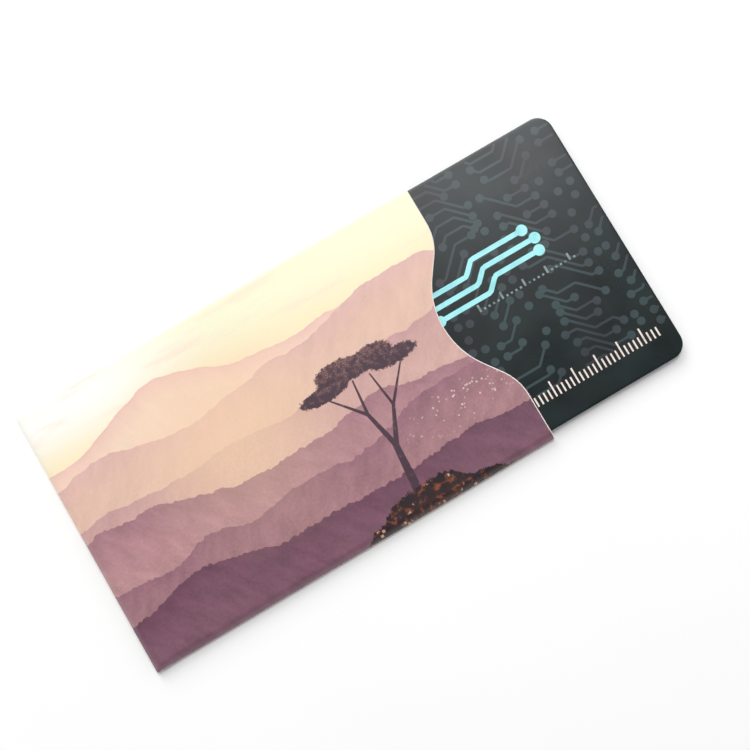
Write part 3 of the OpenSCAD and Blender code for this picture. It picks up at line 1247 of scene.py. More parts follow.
    def glued_edge(self, front: list[list[int]]) -> tuple[list[list[int]], list[list[int]]]:
        """Make the fold round the closed end and along the glued side.

        Args:
            front: The front's rows of points.

        Returns:
            The sections of the closed end, and those of the glued side.
        """
        foot = self.flap_level
        radius = self.corner_radius
        end = []
        for i in range(self.turn_steps, 0, -1):
            share = i / self.turn_steps
            away = radius * (1 - share)
            spot = (self.closed_x, -self.half_width + away, 0)
            end.append(self.section(front[0][0], spot, (1, share, 0), foot, away))
        for row in front:
            y = self.points[row[0]].y
            end.append(self.section(row[0], (self.closed_x, y, 0), (1, 0, 0), foot,
                                    y + self.half_width))
        corner = []
        for i in range(1, self.round_steps):
            out = direction(0.0, math.pi - math.pi / 2 * i / self.round_steps)
            spot = (self.closed_x + radius + out.x * radius,
                    self.half_width - radius + out.y * radius, 0)
            corner.append(self.section(front[-1][0], spot, -out, foot))
        side = [self.section(number, (self.points[number].x, self.half_width, 0), (0, -1, 0), foot)
                for number in front[-1]]
        self.skin([*end, *corner, *side])
        return end, side

    def back(self, foot: list[int]) -> None:
        """Make the back, from the spine's underside to its free edge.

        Args:
            foot: The points of the spine's underside.
        """
        start = self.points[foot[-1]].y
        stop = self.half_width - self.back_inset
        count = round((stop - start) / self.step)
        rows = [foot]
        for i in range(1, count + 1):
            y = start + (stop - start) * i / count
            rows.append([self.add(self.points[n].x, y, 0.0) for n in foot])
        self.skin(rows)

    def flap(self, foot: list[int], axis: int, free: Pair, reach: float, count: int) -> None:
        """Make a glue flap, from its fold's underside to its free edge.

        Args:
            foot: The points of the fold's underside.
            axis: 0 where the fold runs along the sleeve, 1 where it runs across it.
            free: Where the free edge starts and ends on that axis.
            reach: Width of the flap, with the sign of the way that it points.
            count: Number of rows of faces.
        """
        first, last = self.points[foot[0]], self.points[foot[-1]]
        rows = [foot]
        for i in range(1, count + 1):
            share = i / count
            row = []
            for number in foot:
                at = self.points[number][axis]
                along = (at - first[axis]) / (last[axis] - first[axis])
                place = first.copy()
                place[axis] = at * (1 - share) + (free[0] + (free[1] - free[0]) * along) * share
                place[1 - axis] += reach * share
                row.append(self.add(*place))
            rows.append(row)
        self.skin(rows)

    def relax(self) -> None:
        """Give the front its slight unevenness, always inwards, from a few slow waves."""
        low = self.height - self.dip_band
        for point in self.points:
            if point.z > low:
                turns = [at / length for at, length in zip(point.xyxy, self.sway_lengths)]
                sway = math.sin(turns[0] + self.sway_starts[0])
                sway *= math.cos(turns[1] + self.sway_starts[1])
                sway += self.sway_share * math.sin(turns[2] - turns[3] + self.sway_starts[2])
                held = smooth(low, self.height, point.z)
                point.z -= self.dip * held * (1 + sway / (1 + self.sway_share)) / 2

    def build(self) -> None:
        """Make all regions of the blank."""
        front = self.front()
        spine = self.spine(front)
        end, side = self.glued_edge(front)
        self.back([section[-1] for section in spine])
        margin = self.fold_radius + self.flap_gap
        taper = math.tan(self.flap_taper)
        wide, deep = self.side_flap_width, self.end_flap_width
        foot = [section[-1] for section in side]
        self.flap(foot, 0, (self.closed_x + margin + wide, self.mouth_x - wide * taper), -wide,
                  self.side_flap_rows)
        foot = [section[-1] for section in end[-len(front) :]]
        self.flap(foot, 1, (-self.half_width + margin + deep * taper,
                            self.half_width - margin - deep), deep, self.end_flap_rows)
        self.relax()

    def surface(self) -> bmesh.types.BMesh:
        """Join the regions into one surface that faces outwards.

        Returns:
            The blank's outer face.
        """
        made = bmesh.new()
        rub = made.verts.layers.float.new("wear")
        verts = [made.verts.new(point) for point in self.points]
        for vert, wear in zip(verts, self.wear):
            vert[rub] = wear
        for face in self.faces:
            corners = list(dict.fromkeys(verts[i] for i in face))
            if len(corners) > 2:
                made.faces.new(corners)
        bmesh.ops.remove_doubles(made, verts=made.verts, dist=self.merge_under)
        bmesh.ops.dissolve_degenerate(made, edges=made.edges, dist=self.dissolve_under)
        bmesh.ops.recalc_face_normals(made, faces=made.faces)
        top = max(made.faces, key=lambda face: face.calc_center_median().z)
        if top.normal.z < 0:
            bmesh.ops.reverse_faces(made, faces=made.faces)
        made.normal_update()
        return made


@dataclass
class Ply:
    """One layer of the blank between two depths under its outer face.

    A crushed ply has the lip that a die leaves: its cut edge is rounded off by crush inwards
    and by crush_depth downwards.
    """

    name: str
    slot: str
    top: float
    bottom: float
    face: Finish
    edge: Finish
    nodes: tuple[str, ...]
    crush: float = 0.0
    crush_depth: float = 0.05 * MM
    sharp: float = 32.0

    def rim(self, sheet: bmesh.types.BMesh) -> dict[int, Vector]:
        """Find the way into the sheet at each point of its cut edge.

        Args:
            sheet: The blank's outer face.

        Returns:
            The way, by the number of the point.
        """
        into: dict[int, Vector] = {}
        for edge in sheet.edges:
            if edge.is_boundary:
                loop = edge.link_loops[0]
                along = loop.link_loop_next.vert.co - loop.vert.co
                way = loop.face.normal.cross(along).normalized()
                for vert in edge.verts:
                    into[vert.index] = into.get(vert.index, Vector()) + way
        return {number: way.normalized() for number, way in into.items()}

    def build(self, sheet: bmesh.types.BMesh) -> bpy.types.Object:
        """Make the ply as a closed solid.

        Args:
            sheet: The blank's outer face.

        Returns:
            The finished piece.
        """
        sheet.verts.index_update()
        rub = sheet.verts.layers.float["wear"]
        into = self.rim(sheet)
        solid = bmesh.new()
        worn = solid.verts.layers.float.new("wear")
        outer, lip, inner = [], {}, []
        for vert in sheet.verts:
            place = vert.co - vert.normal * self.top
            if vert.index in into and self.crush > 0:
                lip[vert.index] = solid.verts.new(place - vert.normal * self.crush_depth)
                place = place + into[vert.index] * self.crush
            outer.append(solid.verts.new(place))
            outer[-1][worn] = vert[rub]
            inner.append(solid.verts.new(vert.co - vert.normal * self.bottom))
        for face in sheet.faces:
            numbers = [vert.index for vert in face.verts]
            solid.faces.new([outer[i] for i in numbers])
            solid.faces.new([inner[i] for i in reversed(numbers)])
        for edge in sheet.edges:
            if edge.is_boundary:
                loop = edge.link_loops[0]
                a, b = loop.vert.index, loop.link_loop_next.vert.index
                upper = (outer[a], outer[b])
                if self.crush > 0:
                    solid.faces.new((upper[1], upper[0], lip[a], lip[b])).material_index = 1
                    upper = (lip[a], lip[b])
                solid.faces.new((upper[1], upper[0], inner[a], inner[b])).material_index = 1
        piece = shell_piece(self.name, solid, (self.face, self.edge), self.sharp)
        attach(piece, "sleeve")
        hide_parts(*self.nodes)
        return piece


@dataclass
class Sleeve:
    """The folded sleeve: three plies of one blank, and the two glue lines."""

    crush: float = 0.14 * MM

    def sheet(self) -> FoldedSheet:
        """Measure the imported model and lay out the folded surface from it.

        Returns:
            The folded surface.
        """
        spine_low, spine_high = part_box("spine_fold")
        glue_low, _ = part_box("side_glue_line")
        flap_low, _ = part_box("side_flap")
        back_low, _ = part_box("back_panel")
        _, side_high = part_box("side_fold")
        made = FoldedSheet(
            closed_x=spine_low.x,
            mouth_x=spine_high.x,
            half_width=side_high.y,
            height=side_high.z,
            wall=glue_low.z,
            fold_radius=back_low.y - spine_low.y,
            flap_level=flap_low.z,
        )
        made.build()
        return made

    def build(self) -> list[bpy.types.Object]:
        """Make the plies and dress the glue.

        Returns:
            The pieces.
        """
        sheet = self.sheet()
        surface = sheet.surface()
        panel_low, panel_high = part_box("front_panel")
        board = panel_high.z - panel_low.z
        foil_low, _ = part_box("shield_foil")
        liner_low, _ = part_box("inner_liner")
        liner = PlainPlastic(Plastic.LINER)
        plies = (
            Ply("board_blank", "printed_board", 0.0, board, PrintedBoard(), CutBoard(),
                ("front_panel", "back_panel", "spine_fold", "side_fold", "end_fold",
                 "side_flap", "end_flap"), crush=self.crush),
            Ply("foil_ply", "foil", foil_low.z, liner_low.z, Foil(), Foil(), ("shield_foil",)),
            Ply("liner_ply", "liner", liner_low.z, sheet.wall, liner, liner, ("inner_liner",)),
        )
        made = [ply.build(surface) for ply in plies]
        surface.free()
        glue = PlainPlastic(Plastic.GLUE)
        return made + [dress(name, glue) for name in ("side_glue_line", "end_glue_line")]


@dataclass
class Layout:
    """Base of the prints that Geometry Nodes lay out on the card, each from its own rule."""

    name: str
    finish: Finish
    graph: Graph = field(init=False)
    given: Sockets = field(init=False)

    def shapes(self) -> Socket:
        """Wire the print's shapes and return them."""
        raise NotImplementedError

    def middle(self, x: str, y: str) -> Socket:
        """Return the place that two named inputs give, at the print's level."""
        return self.graph.join(self.given[x], self.given[y], self.given["Level"])

    def grow(self, values: dict[str, float]) -> bpy.types.Object:
        """Build the tree, run it and keep its result as a plain mesh.

        Args:
            values: Value of each named input, whole for a whole-number input.

        Returns:
            The new piece.
        """
        tree = bpy.data.node_groups.new(self.name, "GeometryNodeTree")
        for name, value in values.items():
            kind = "NodeSocketInt" if isinstance(value, int) else "NodeSocketFloat"
            tree.interface.new_socket(name, in_out="INPUT", socket_type=kind)
        tree.interface.new_socket("Geometry", in_out="OUTPUT", socket_type="NodeSocketGeometry")
        graph = self.graph = Graph(tree)
        self.given = graph.node("NodeGroupInput").outputs
        real = graph.out("GeometryNodeRealizeInstances", {0: self.shapes()})
        flat = graph.out("GeometryNodeSetShadeSmooth", {"Geometry": real, "Shade Smooth": False})
        inked = graph.out("GeometryNodeSetMaterial",
                          {"Geometry": flat, "Material": self.finish.material()})
        graph.node("NodeGroupOutput", {0: inked})
        piece = new_piece(self.name, bpy.data.meshes.new(self.name))
        modifier = piece.modifiers.new("layout", "NODES")
        modifier.node_group = tree
        for item in tree.interface.items_tree:
            if item.in_out == "INPUT":
                modifier[item.identifier] = values[item.name]
        seen = bpy.context.evaluated_depsgraph_get()
        mesh = bpy.data.meshes.new_from_object(piece.evaluated_get(seen), depsgraph=seen)
        piece.modifiers.clear()
        empty = piece.data
        piece.data = mesh
        bpy.data.meshes.remove(empty)
        mesh.name = self.name
        return piece


@dataclass(frozen=True)
class Bend:
    """A place where the printed tracks run at 45 degrees, in millimetres along the print."""

    start: float
    run: float
    turn: int


class Draw(Enum):
    """What is drawn at random for a track or a pad, each with its own step of the seed."""

    LENGTH = 1.0
    PLACE = 2.0
    TRACK = 3.0
    SPARE = 5.0
    LIFT = 7.0


@dataclass
class PrintLayout(Layout):
    """Tracks and pads of the card's print.

    Rows of tracks lie a pitch apart and bend together, so that no two meet. Each row is cut into
    cells, and each cell holds a track of its own length with a round pad at both ends. Gaps and
    margins from cell_gap to spare_gap are counted in radii of a pad, spare_jolt in pitches of the
    spare pads, and the depth and step of a pad in thicknesses of the print.
    """

    bends: tuple[Bend, ...]
    rows: int
    cells: int
    pitch: float
    cell: float
    shortest: float
    longest: float
    track_width: float
    pad_radius: float
    kept: float
    seed: int
    centre: Pair
    spare: float = 0.0
    thickness: float = 0.006 * MM
    stagger: float = 0.3
    samples: int = 40
    pad_sides: int = 20
    cell_gap: float = 3.0
    least_track: float = 1.2
    pad_margin: float = 1.3
    spare_pitch: float = 3.1
    spare_gap: float = 2.25
    spare_jolt: float = 0.22
    pad_depth: float = 1.2
    pad_step: float = 0.4

    def pads_wide(self, count: float) -> Socket:
        """Return a number of times the pads' radius."""
        return self.graph.math("MULTIPLY", self.given["Pad Radius"], count)

    def draw(self, number: Socket, what: Draw, low: Value, high: Value) -> Socket:
        """Draw one random number for each track or pad.

        Args:
            number: The track's or the pad's number.
            what: What is drawn.
            low: Least value.
            high: Greatest value.

        Returns:
            The number.
        """
        seed = self.graph.math("ADD", self.given["Seed"], what.value)
        inputs = {"ID": number, "Seed": seed, 2: low, 3: high}
        return self.graph.node("FunctionNodeRandomValue", inputs, data_type="FLOAT").outputs[1]

    def inside(self, margin: Value) -> Socket:
        """Test whether a point lies on the card.

        Args:
            margin: Least distance from the card's edges.

        Returns:
            1 there and 0 elsewhere.
        """
        graph = self.graph
        tests = []
        for name, at in zip("XY", graph.axes(graph.out("GeometryNodeInputPosition"))):
            least = graph.math("ADD", self.given[f"Low {name}"], margin)
            most = graph.math("SUBTRACT", self.given[f"High {name}"], margin)
            tests += [graph.math("GREATER_THAN", at, least), graph.math("LESS_THAN", at, most)]
        return graph.product(*tests)

    def pruned(self, shapes: Socket, domain: str, gone: Socket) -> Socket:
        """Leave out some of the curves or of their points."""
        return self.graph.out("GeometryNodeDeleteGeometry",
                              {"Geometry": shapes, "Selection": gone}, domain=domain)

    def tracks(self) -> Socket:
        """Lay out the middle lines of the tracks.

        Returns:
            The curves.
        """
        graph, given = self.graph, self.given
        line = graph.out("GeometryNodeCurvePrimitiveLine")
        fine = graph.out("GeometryNodeResampleCurve", {"Curve": line, "Count": given["Samples"]})
        total = graph.math("MULTIPLY", given["Rows"], given["Cells"])
        copies = graph.node("GeometryNodeDuplicateElements", {"Geometry": fine, "Amount": total},
                            domain="SPLINE")
        number = copies.outputs["Duplicate Index"]
        row = graph.math("FLOOR", graph.math("DIVIDE", number, given["Cells"]))
        cell = graph.math("SUBTRACT", number, graph.math("MULTIPLY", row, given["Cells"]))
        length = self.draw(number, Draw.LENGTH, given["Shortest"], given["Longest"])
        room = graph.math("SUBTRACT", given["Cell"], length)
        slack = graph.math("MULTIPLY_ADD", given["Pad Radius"], -self.cell_gap, room)
        start = graph.math("MULTIPLY", self.draw(number, Draw.PLACE, 0.0, 1.0), slack)
        half_cells = graph.math("MULTIPLY", given["Cells"], 0.5)
        start = graph.math("MULTIPLY_ADD", graph.math("SUBTRACT", cell, half_cells),
                           given["Cell"], start)
        share = graph.node("GeometryNodeSplineParameter").outputs["Factor"]
        along = graph.math("MULTIPLY_ADD", share, length, start)
        half_rows = graph.math("MULTIPLY_ADD", given["Rows"], 0.5, -0.5)
        across = graph.math("MULTIPLY", graph.math("SUBTRACT", row, half_rows), given["Pitch"])
        where = graph.math("MULTIPLY_ADD", across, self.stagger, along)
        for bend in self.bends:
            shift = graph.span(where, bend.start * MM, (bend.start + bend.run) * MM, 0.0,
                               bend.turn * bend.run * MM, eased=False)
            across = graph.math("ADD", across, shift)
        place = graph.vector("ADD", graph.join(along, across), self.middle("Middle X", "Middle Y"))
        laid = graph.out("GeometryNodeSetPosition",
                         {"Geometry": copies.outputs[0], "Position": place})
        drawn = self.draw(number, Draw.TRACK, 0.0, 1.0)
        some = self.pruned(laid, "CURVE", graph.math("GREATER_THAN", drawn, given["Kept"]))
        off = graph.math("SUBTRACT", 1.0, self.inside(given["Track Width"]))
        on_card = self.pruned(some, "POINT", off)
        short = graph.math("LESS_THAN", graph.out("GeometryNodeSplineLength"),
                           self.pads_wide(self.least_track))
        return self.pruned(on_card, "CURVE", short)

    def ribbons(self, tracks: Socket) -> Socket:
        """Give the tracks their width.

        Args:
            tracks: The tracks' middle lines.

        Returns:
            The tracks as a mesh.
        """
        graph, given = self.graph, self.given
        section = graph.out("GeometryNodeCurvePrimitiveQuadrilateral",
                            {"Width": given["Track Width"], "Height": given["Thickness"]})
        level = graph.out("GeometryNodeSetCurveNormal", {0: tracks}, mode="Z_UP")
        return graph.out("GeometryNodeCurveToMesh",
                         {"Curve": level, "Profile Curve": section, "Fill Caps": True})

    def pads(self, points: Socket, wanted: Socket) -> Socket:
        """Put a pad on some points, each lifted by its own small step.

        The step keeps two pads that meet out of one plane.

        Args:
            points: The points.
            wanted: 1 where a pad goes.

        Returns:
            The pads.
        """
        graph, given = self.graph, self.given
        disc = graph.out("GeometryNodeMeshCylinder", {
            "Vertices": given["Pad Sides"], "Radius": given["Pad Radius"],
            "Depth": graph.math("MULTIPLY", given["Thickness"], self.pad_depth)})
        made = graph.out("GeometryNodeInstanceOnPoints", {
            "Points": points, "Selection": wanted, "Instance": disc})
        most = graph.math("MULTIPLY", given["Thickness"], self.pad_step)
        step = self.draw(graph.out("GeometryNodeInputIndex"), Draw.LIFT, 0.0, most)
        return graph.out("GeometryNodeTranslateInstances", {
            "Instances": made, "Translation": graph.join(0.0, 0.0, step), "Local Space": False})

    def spare_pads(self, ribbon: Socket) -> Socket:
        """Fill the room that the tracks leave with single pads.

        Args:
            ribbon: The tracks as a mesh.

        Returns:
            The pads.
        """
        graph, given = self.graph, self.given
        pitch = self.pads_wide(self.spare_pitch)
        wide = graph.math("SUBTRACT", given["High X"], given["Low X"])
        deep = graph.math("SUBTRACT", given["High Y"], given["Low Y"])
        grid = graph.out("GeometryNodeMeshGrid", {
            "Size X": wide, "Size Y": deep,
            "Vertices X": graph.math("DIVIDE", wide, pitch),
            "Vertices Y": graph.math("DIVIDE", deep, pitch)})
        jolt = graph.out("FunctionNodeRandomValue", {
            "Seed": given["Seed"], 0: (-1.0, -1.0, 0.0), 1: (1.0, 1.0, 0.0)},
            data_type="FLOAT_VECTOR")
        shift = graph.vector("SCALE", jolt, graph.math("MULTIPLY", pitch, self.spare_jolt))
        placed = graph.out("GeometryNodeSetPosition", {
            "Geometry": grid,
            "Offset": graph.vector("ADD", shift, self.middle("Middle X", "Middle Y"))})
        gap = graph.node("GeometryNodeProximity", {"Geometry": ribbon}, target_element="FACES")
        clear = graph.math("GREATER_THAN", gap.outputs["Distance"],
                           self.pads_wide(self.spare_gap))
        index = graph.out("GeometryNodeInputIndex")
        kept = graph.math("LESS_THAN", self.draw(index, Draw.SPARE, 0.0, 1.0), given["Spare"])
        on_card = self.inside(self.pads_wide(self.pad_margin))
        return self.pads(placed, graph.product(clear, on_card, kept))

    def shapes(self) -> Socket:
        """Join the tracks, the pads on their ends and the spare pads.

        Returns:
            All of them together.
        """
        graph = self.graph
        tracks = self.tracks()
        ends = graph.product(graph.out("GeometryNodeCurveEndpointSelection"),
                             self.inside(self.pads_wide(self.pad_margin)))
        ribbon = self.ribbons(tracks)
        joined = graph.node("GeometryNodeJoinGeometry")
        for part in (ribbon, self.pads(tracks, ends), self.spare_pads(ribbon)):
            graph.feed(joined.inputs[0], part)
        return joined.outputs[0]

    def build(self, level: float, low: Vector, high: Vector) -> bpy.types.Object:
        """Lay the print on the card.

        Args:
            level: Height of the card's face.
            low: Lowest corner of the printed field.
            high: Highest corner of the printed field.

        Returns:
            The print as one plain mesh.
        """
        return self.grow({
            "Pitch": self.pitch, "Cell": self.cell, "Shortest": self.shortest,
            "Longest": self.longest, "Track Width": self.track_width,
            "Pad Radius": self.pad_radius, "Thickness": self.thickness, "Kept": self.kept,
            "Middle X": self.centre[0], "Middle Y": self.centre[1], "Level": level,
            "Low X": low.x, "High X": high.x, "Low Y": low.y, "High Y": high.y,
            "Spare": self.spare, "Rows": self.rows, "Cells": self.cells,
            "Samples": self.samples, "Pad Sides": self.pad_sides, "Seed": self.seed,
        })


@dataclass
class MarkRow(Layout):
    """A row of like marks on the card, with the first of every group longer."""

    count: int
    width: float
    height: float
    long_height: float
    start: Pair
    pitch: float = 1.0 * MM
    thickness: float = 0.006 * MM
    group: float = 5.0

    def shapes(self) -> Socket:
        """Stand a flat block on each point of a line, all on one base line.

        Returns:
            The blocks.
        """
        graph, given = self.graph, self.given
        line = graph.out("GeometryNodeMeshLine", {
            "Count": given["Count"], "Start Location": self.middle("Start X", "Start Y"),
            "Offset": graph.join(given["Pitch"])})
        index = graph.out("GeometryNodeInputIndex")
        first = graph.math("LESS_THAN", graph.math("MODULO", index, self.group), 0.5)
        extra = graph.math("SUBTRACT", given["Long Height"], given["Height"])
        tall = graph.math("MULTIPLY_ADD", first, extra, given["Height"])
        made = graph.out("GeometryNodeInstanceOnPoints", {
            "Points": line, "Instance": graph.out("GeometryNodeMeshCube"),
            "Scale": graph.join(given["Width"], tall, given["Thickness"])})
        lift = graph.join(0.0, graph.math("MULTIPLY", tall, 0.5))
        return graph.out("GeometryNodeTranslateInstances", {
            "Instances": made, "Translation": lift, "Local Space": False})

    def build(self, level: float) -> bpy.types.Object:
        """Lay the row on the card.

        Args:
            level: The height that it lies at.

        Returns:
            The row as one plain mesh.
        """
        return self.grow({
            "Pitch": self.pitch, "Width": self.width, "Height": self.height,
            "Long Height": self.long_height, "Thickness": self.thickness,
            "Start X": self.start[0], "Start Y": self.start[1], "Level": level,
            "Count": self.count,
        })


@dataclass
class CardFilm:
    """A clear film on one face of the card.

    Its rounded rim is given as insets in millimetres and shares of the film's thickness.
    """

    name: str
    node: str
    faces_up: bool
    corner_radius: float = 3.18 * MM
    corner_steps: int = 14
    rim: tuple[Pair, ...] = (
        (0.0, 0.0), (0.0, 0.04), (0.10, 0.52), (0.24, 0.86), (0.38, 1.0), (0.7, 1.0))
    sharp: float = 50.0

    def outline(self, low: Vector, high: Vector, inset: float, z: float) -> list[Vector]:
        """Draw the card's outline, less an inset, at one height.

        Args:
            low: Lowest corner of the card.
            high: Highest corner of the card.
            inset: Distance inwards from its edge.
            z: The height.

        Returns:
            The points, once round.
        """
        radius = self.corner_radius - inset
        points = []
        for quarter, (right, top) in enumerate(((1, 1), (-1, 1), (-1, -1), (1, -1))):
            x = (high if right > 0 else low).x - right * self.corner_radius
            y = (high if top > 0 else low).y - top * self.corner_radius
            for i in range(self.corner_steps + 1):
                out = direction(0.0, math.pi / 2 * (quarter + i / self.corner_steps))
                points.append(Vector((x, y, z)) + radius * out)
        return points

    def build(self) -> bpy.types.Object:
        """Make the film as a closed slab.

        Returns:
            The piece.
        """
        low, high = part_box(self.node)
        inner, outer = (low.z, high.z) if self.faces_up else (high.z, low.z)
        made = bmesh.new()
        loops = [[made.verts.new(p) for p in self.outline(
            low, high, inset * MM, inner + (outer - inner) * share)] for inset, share in self.rim]
        for first, second in zip(loops, loops[1:]):
            for corners in zip(first, first[1:] + first[:1], second[1:] + second[:1], second):
                made.faces.new(corners)
        made.faces.new(list(reversed(loops[0])))
        made.faces.new(loops[-1])
        bmesh.ops.recalc_face_normals(made, faces=made.faces)
        piece = shell_piece(self.name, made, (CardFace(),), self.sharp)
        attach(piece, "card")
        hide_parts(self.node)
        return piece


@dataclass
class Card:
    """The card: films, printed sheets, and the sheets and parts inside."""

    faint: CardInk = CardInk(name="faint_ink", full="#384a4c", thin="#36363f", cover=0.47,
                             scale=0.06)
    bright: CardInk = CardInk(name="bright_ink", full="#a6edf0", thin="#92dee4", cover=0.4,
                              scale=0.4)
    blush: CardInk = CardInk(name="blush_ink", full="#f1e4dc", thin="#d8bab0", cover=0.36,
                             scale=0.5)
    grey: CardInk = CardInk(name="grey_ink", full="#8d9c9a", thin="#5f6f6f", cover=0.42,
                            scale=0.5)
    first_layer: float = 0.003 * MM
    second_layer: float = 0.009 * MM
    clear_strip: float = 6.4 * MM

    def prints(self) -> list[bpy.types.Object]:
        """Make the card's print.

        Returns:
            Its pieces.
        """
        low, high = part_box("card_front_film")
        centre = ((low.x + high.x) / 2, (low.y + high.y) / 2)
        circuit = PrintLayout(
            name="circuit_print", finish=self.faint,
            bends=(Bend(-46, 5, 1), Bend(-36, 5, -1), Bend(-27, 4, 1), Bend(-17, 5, -1),
                   Bend(-7, 4, -1), Bend(2, 5, 1), Bend(12, 5, 1), Bend(21, 4, -1),
                   Bend(29, 5, -1), Bend(39, 4, 1)),
            rows=26, cells=7, pitch=2.35 * MM, cell=15.5 * MM, shortest=3.5 * MM,
            longest=13.0 * MM, track_width=0.5 * MM, pad_radius=0.84 * MM, kept=0.94, seed=11,
            centre=centre, spare=0.8)
        bus = PrintLayout(
            name="bright_tracks", finish=self.bright, bends=(Bend(-3, 2.4, 1),),
            rows=3, cells=1, pitch=2.5 * MM, cell=30 * MM, shortest=21.5 * MM,
            longest=25.5 * MM, track_width=1.0 * MM, pad_radius=1.15 * MM, kept=1.1, seed=4,
            centre=(centre[0] + 17.5 * MM, 4.4 * MM), stagger=0.5)
        scale = MarkRow(name="pale_scale", finish=self.blush, count=29, width=0.34 * MM,
                        height=1.9 * MM, long_height=3.3 * MM, start=(43.2 * MM, -21.7 * MM))
        dots = MarkRow(name="grey_marks", finish=self.grey, count=22, width=0.42 * MM,
                       height=0.42 * MM, long_height=1.5 * MM, start=(44.0 * MM, -0.4 * MM))
        lower, upper = high.z + self.first_layer, high.z + self.second_layer
        made = [circuit.build(lower, low + Vector((0, self.clear_strip, 0)), high),
                bus.build(upper, low, high), scale.build(upper), dots.build(upper)]
        for piece in made:
            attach(piece, "card")
        return made

    def build(self) -> list[bpy.types.Object]:
        """Make the films and the print, and dress the rest.

        Returns:
            The pieces.
        """
        made = [CardFilm("front_film", "card_front_film", True).build(),
                CardFilm("rear_film", "card_back_film", False).build(), *self.prints()]
        inside = {
            "card_front_sheet": PlainPlastic(Plastic.DARK_SHEET),
            "card_back_sheet": PlainPlastic(Plastic.DARK_SHEET),
            "card_core_sheet": PlainPlastic(Plastic.CORE),
            "card_inlay_sheet": PlainPlastic(Plastic.INLAY),
            "antenna_coil": Copper(),
            "coil_bridge": Copper(),
            "jammer_chip": PlainPlastic(Plastic.CHIP),
            "tuning_capacitor": PlainPlastic(Plastic.CERAMIC),
        }
        return made + [dress(node, finish) for node, finish in inside.items()]


@dataclass(frozen=True)
class FloorPaper(Finish):
    """White paper that takes the object's shadow, and runs out into plain white far from it."""

    name: str = "floor_paper"
    dim: str = "#f9faf9"
    clean: str = "#fcfdfc"
    roughness: float = 0.9
    tone: Mottle = Mottle(0.02, 2.0, 0.5)
    middle: Triple = (45.0, 0.0, 0.0)
    plain_from: Band = Band(95.0, 140.0)

    def wire(self, graph: Graph, surface: Sockets) -> None:
        """Connect a faint paper tone.

        Args:
            graph: The material's tree.
            surface: The shader's sockets.
        """
        tone = self.tone.plain(graph, graph.millimetres())
        graph.feed(surface["Base Color"], graph.mix(tone, ink(self.dim), ink(self.clean)))
        surface["Roughness"].default_value = self.roughness
        surface["Specular IOR Level"].default_value = 0.0

    def lit(self, graph: Graph, surface: Socket) -> Socket:
        """Mix in the plain white where the paper is seen, straight or in a gloss.

        Args:
            graph: The material's tree.
            surface: The paper.

        Returns:
            What the floor shows.
        """
        path = graph.node("ShaderNodeLightPath").outputs
        seen = graph.math("MAXIMUM", path["Is Camera Ray"], path["Is Glossy Ray"])
        seen = graph.math("MAXIMUM", seen, path["Is Transmission Ray"])
        away = graph.vector("DISTANCE", graph.millimetres(), self.middle)
        share = graph.math("MULTIPLY", seen, graph.fit(away, self.plain_from))
        white = graph.out("ShaderNodeEmission", {"Color": WHITE})
        return graph.out("ShaderNodeMixShader", {0: share, 1: surface, 2: white})


@dataclass(frozen=True)
class Softbox:
    """A square lamp: power in watts, angles in degrees over the floor and from +X."""

    name: str
    power: float
    height: float
    side: float
    size: float = 0.60
    distance: float = 1.1

    def hang(self, aim: Vector) -> None:
        """Hang the lamp so that it faces a point.

        Args:
            aim: The point.
        """
        data = bpy.data.lights.new(self.name, "AREA")
        data.shape = "SQUARE"
        data.size = self.size
        data.energy = self.power
        lamp = bpy.data.objects.new(self.name, data)
        way = direction(math.radians(self.height), math.radians(self.side))
        lamp.location = aim + way * self.distance
        lamp.rotation_euler = way.to_track_quat("Z", "Y").to_euler()
        bpy.context.scene.collection.objects.link(lamp)


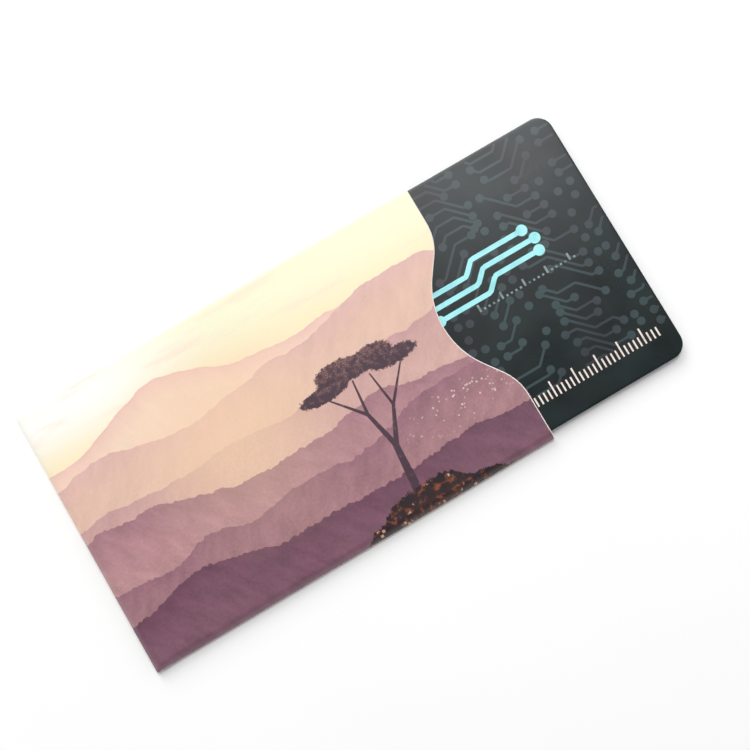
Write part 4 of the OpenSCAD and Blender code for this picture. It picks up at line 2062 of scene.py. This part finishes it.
@dataclass
class Studio:
    """Floor, light and camera, placed as in the photograph."""

    floor_half: float = 3.0
    floor_gap: float = 0.02 * MM
    aim: Triple = (20.24 * MM, -0.47 * MM, 0.0)
    distance: float = 193.2 * MM
    lean: float = math.radians(4.25)
    lean_from: float = math.radians(-112.6)
    up_from: float = math.radians(59.65)
    lens: float = 48.0
    sensor: float = 36.0
    clip: Pair = (0.01, 20.0)
    lamps: tuple[Softbox, ...] = (
        Softbox("key", 6.21, 59.5, 62),
        Softbox("rake", 6.9, 29, 92),
    )
    horizon: float = 1.0
    zenith: float = 0.078
    ceiling_rise: Pair = (0.30, 0.88)

    def floor(self) -> None:
        """Lay the floor under the sleeve."""
        made = bmesh.new()
        level = CAD_LOW.z - self.floor_gap
        for x, y in ((-1, -1), (1, -1), (1, 1), (-1, 1)):
            made.verts.new((x * self.floor_half, y * self.floor_half, level))
        made.faces.new(made.verts)
        shell_piece("floor", made, (FloorPaper(),))

    def room(self) -> None:
        """Make the room: white walls low down and a dimmer ceiling."""
        world = bpy.data.worlds.new("room")
        bpy.context.scene.world = world
        world.use_nodes = True
        graph = Graph(world.node_tree)
        height = graph.axes(graph.node("ShaderNodeTexCoord").outputs["Generated"])[2]
        level = graph.span(height, *self.ceiling_rise, self.horizon, self.zenith)
        shown = graph.out("ShaderNodeBackground", {"Color": WHITE, "Strength": level})
        graph.node("ShaderNodeOutputWorld", {"Surface": shown})

    def camera(self) -> None:
        """Set the camera where the photograph was taken from."""
        back = direction(math.pi / 2 - self.lean, self.lean_from).normalized()
        hint = direction(0.0, self.up_from)
        up = (hint - hint.dot(back) * back).normalized()
        right = up.cross(back)
        data = bpy.data.cameras.new("camera")
        data.lens = self.lens
        data.sensor_width = self.sensor
        data.clip_start, data.clip_end = self.clip
        camera = bpy.data.objects.new("camera", data)
        place = Vector(self.aim) + back * self.distance
        rows = [(right[i], up[i], back[i], place[i]) for i in range(3)]
        camera.matrix_world = Matrix((*rows, (0, 0, 0, 1)))
        bpy.context.scene.collection.objects.link(camera)
        bpy.context.scene.camera = camera

    def build(self) -> None:
        """Set up floor, room, lamps, camera and the plain view transform."""
        self.floor()
        self.room()
        for lamp in self.lamps:
            lamp.hang(Vector(self.aim))
        self.camera()
        bpy.context.scene.view_settings.view_transform = "Standard"


def main() -> None:
    """Build the studio, the sleeve and the card, and report each piece."""
    logging.basicConfig(level=logging.INFO, format="%(name)s: %(message)s")
    Studio().build()
    for assembly in (Sleeve(), Card()):
        for piece in assembly.build():
            LOG.info("%s: %d faces", piece.name, len(piece.data.polygons))


if __name__ == "__main__":
    main()
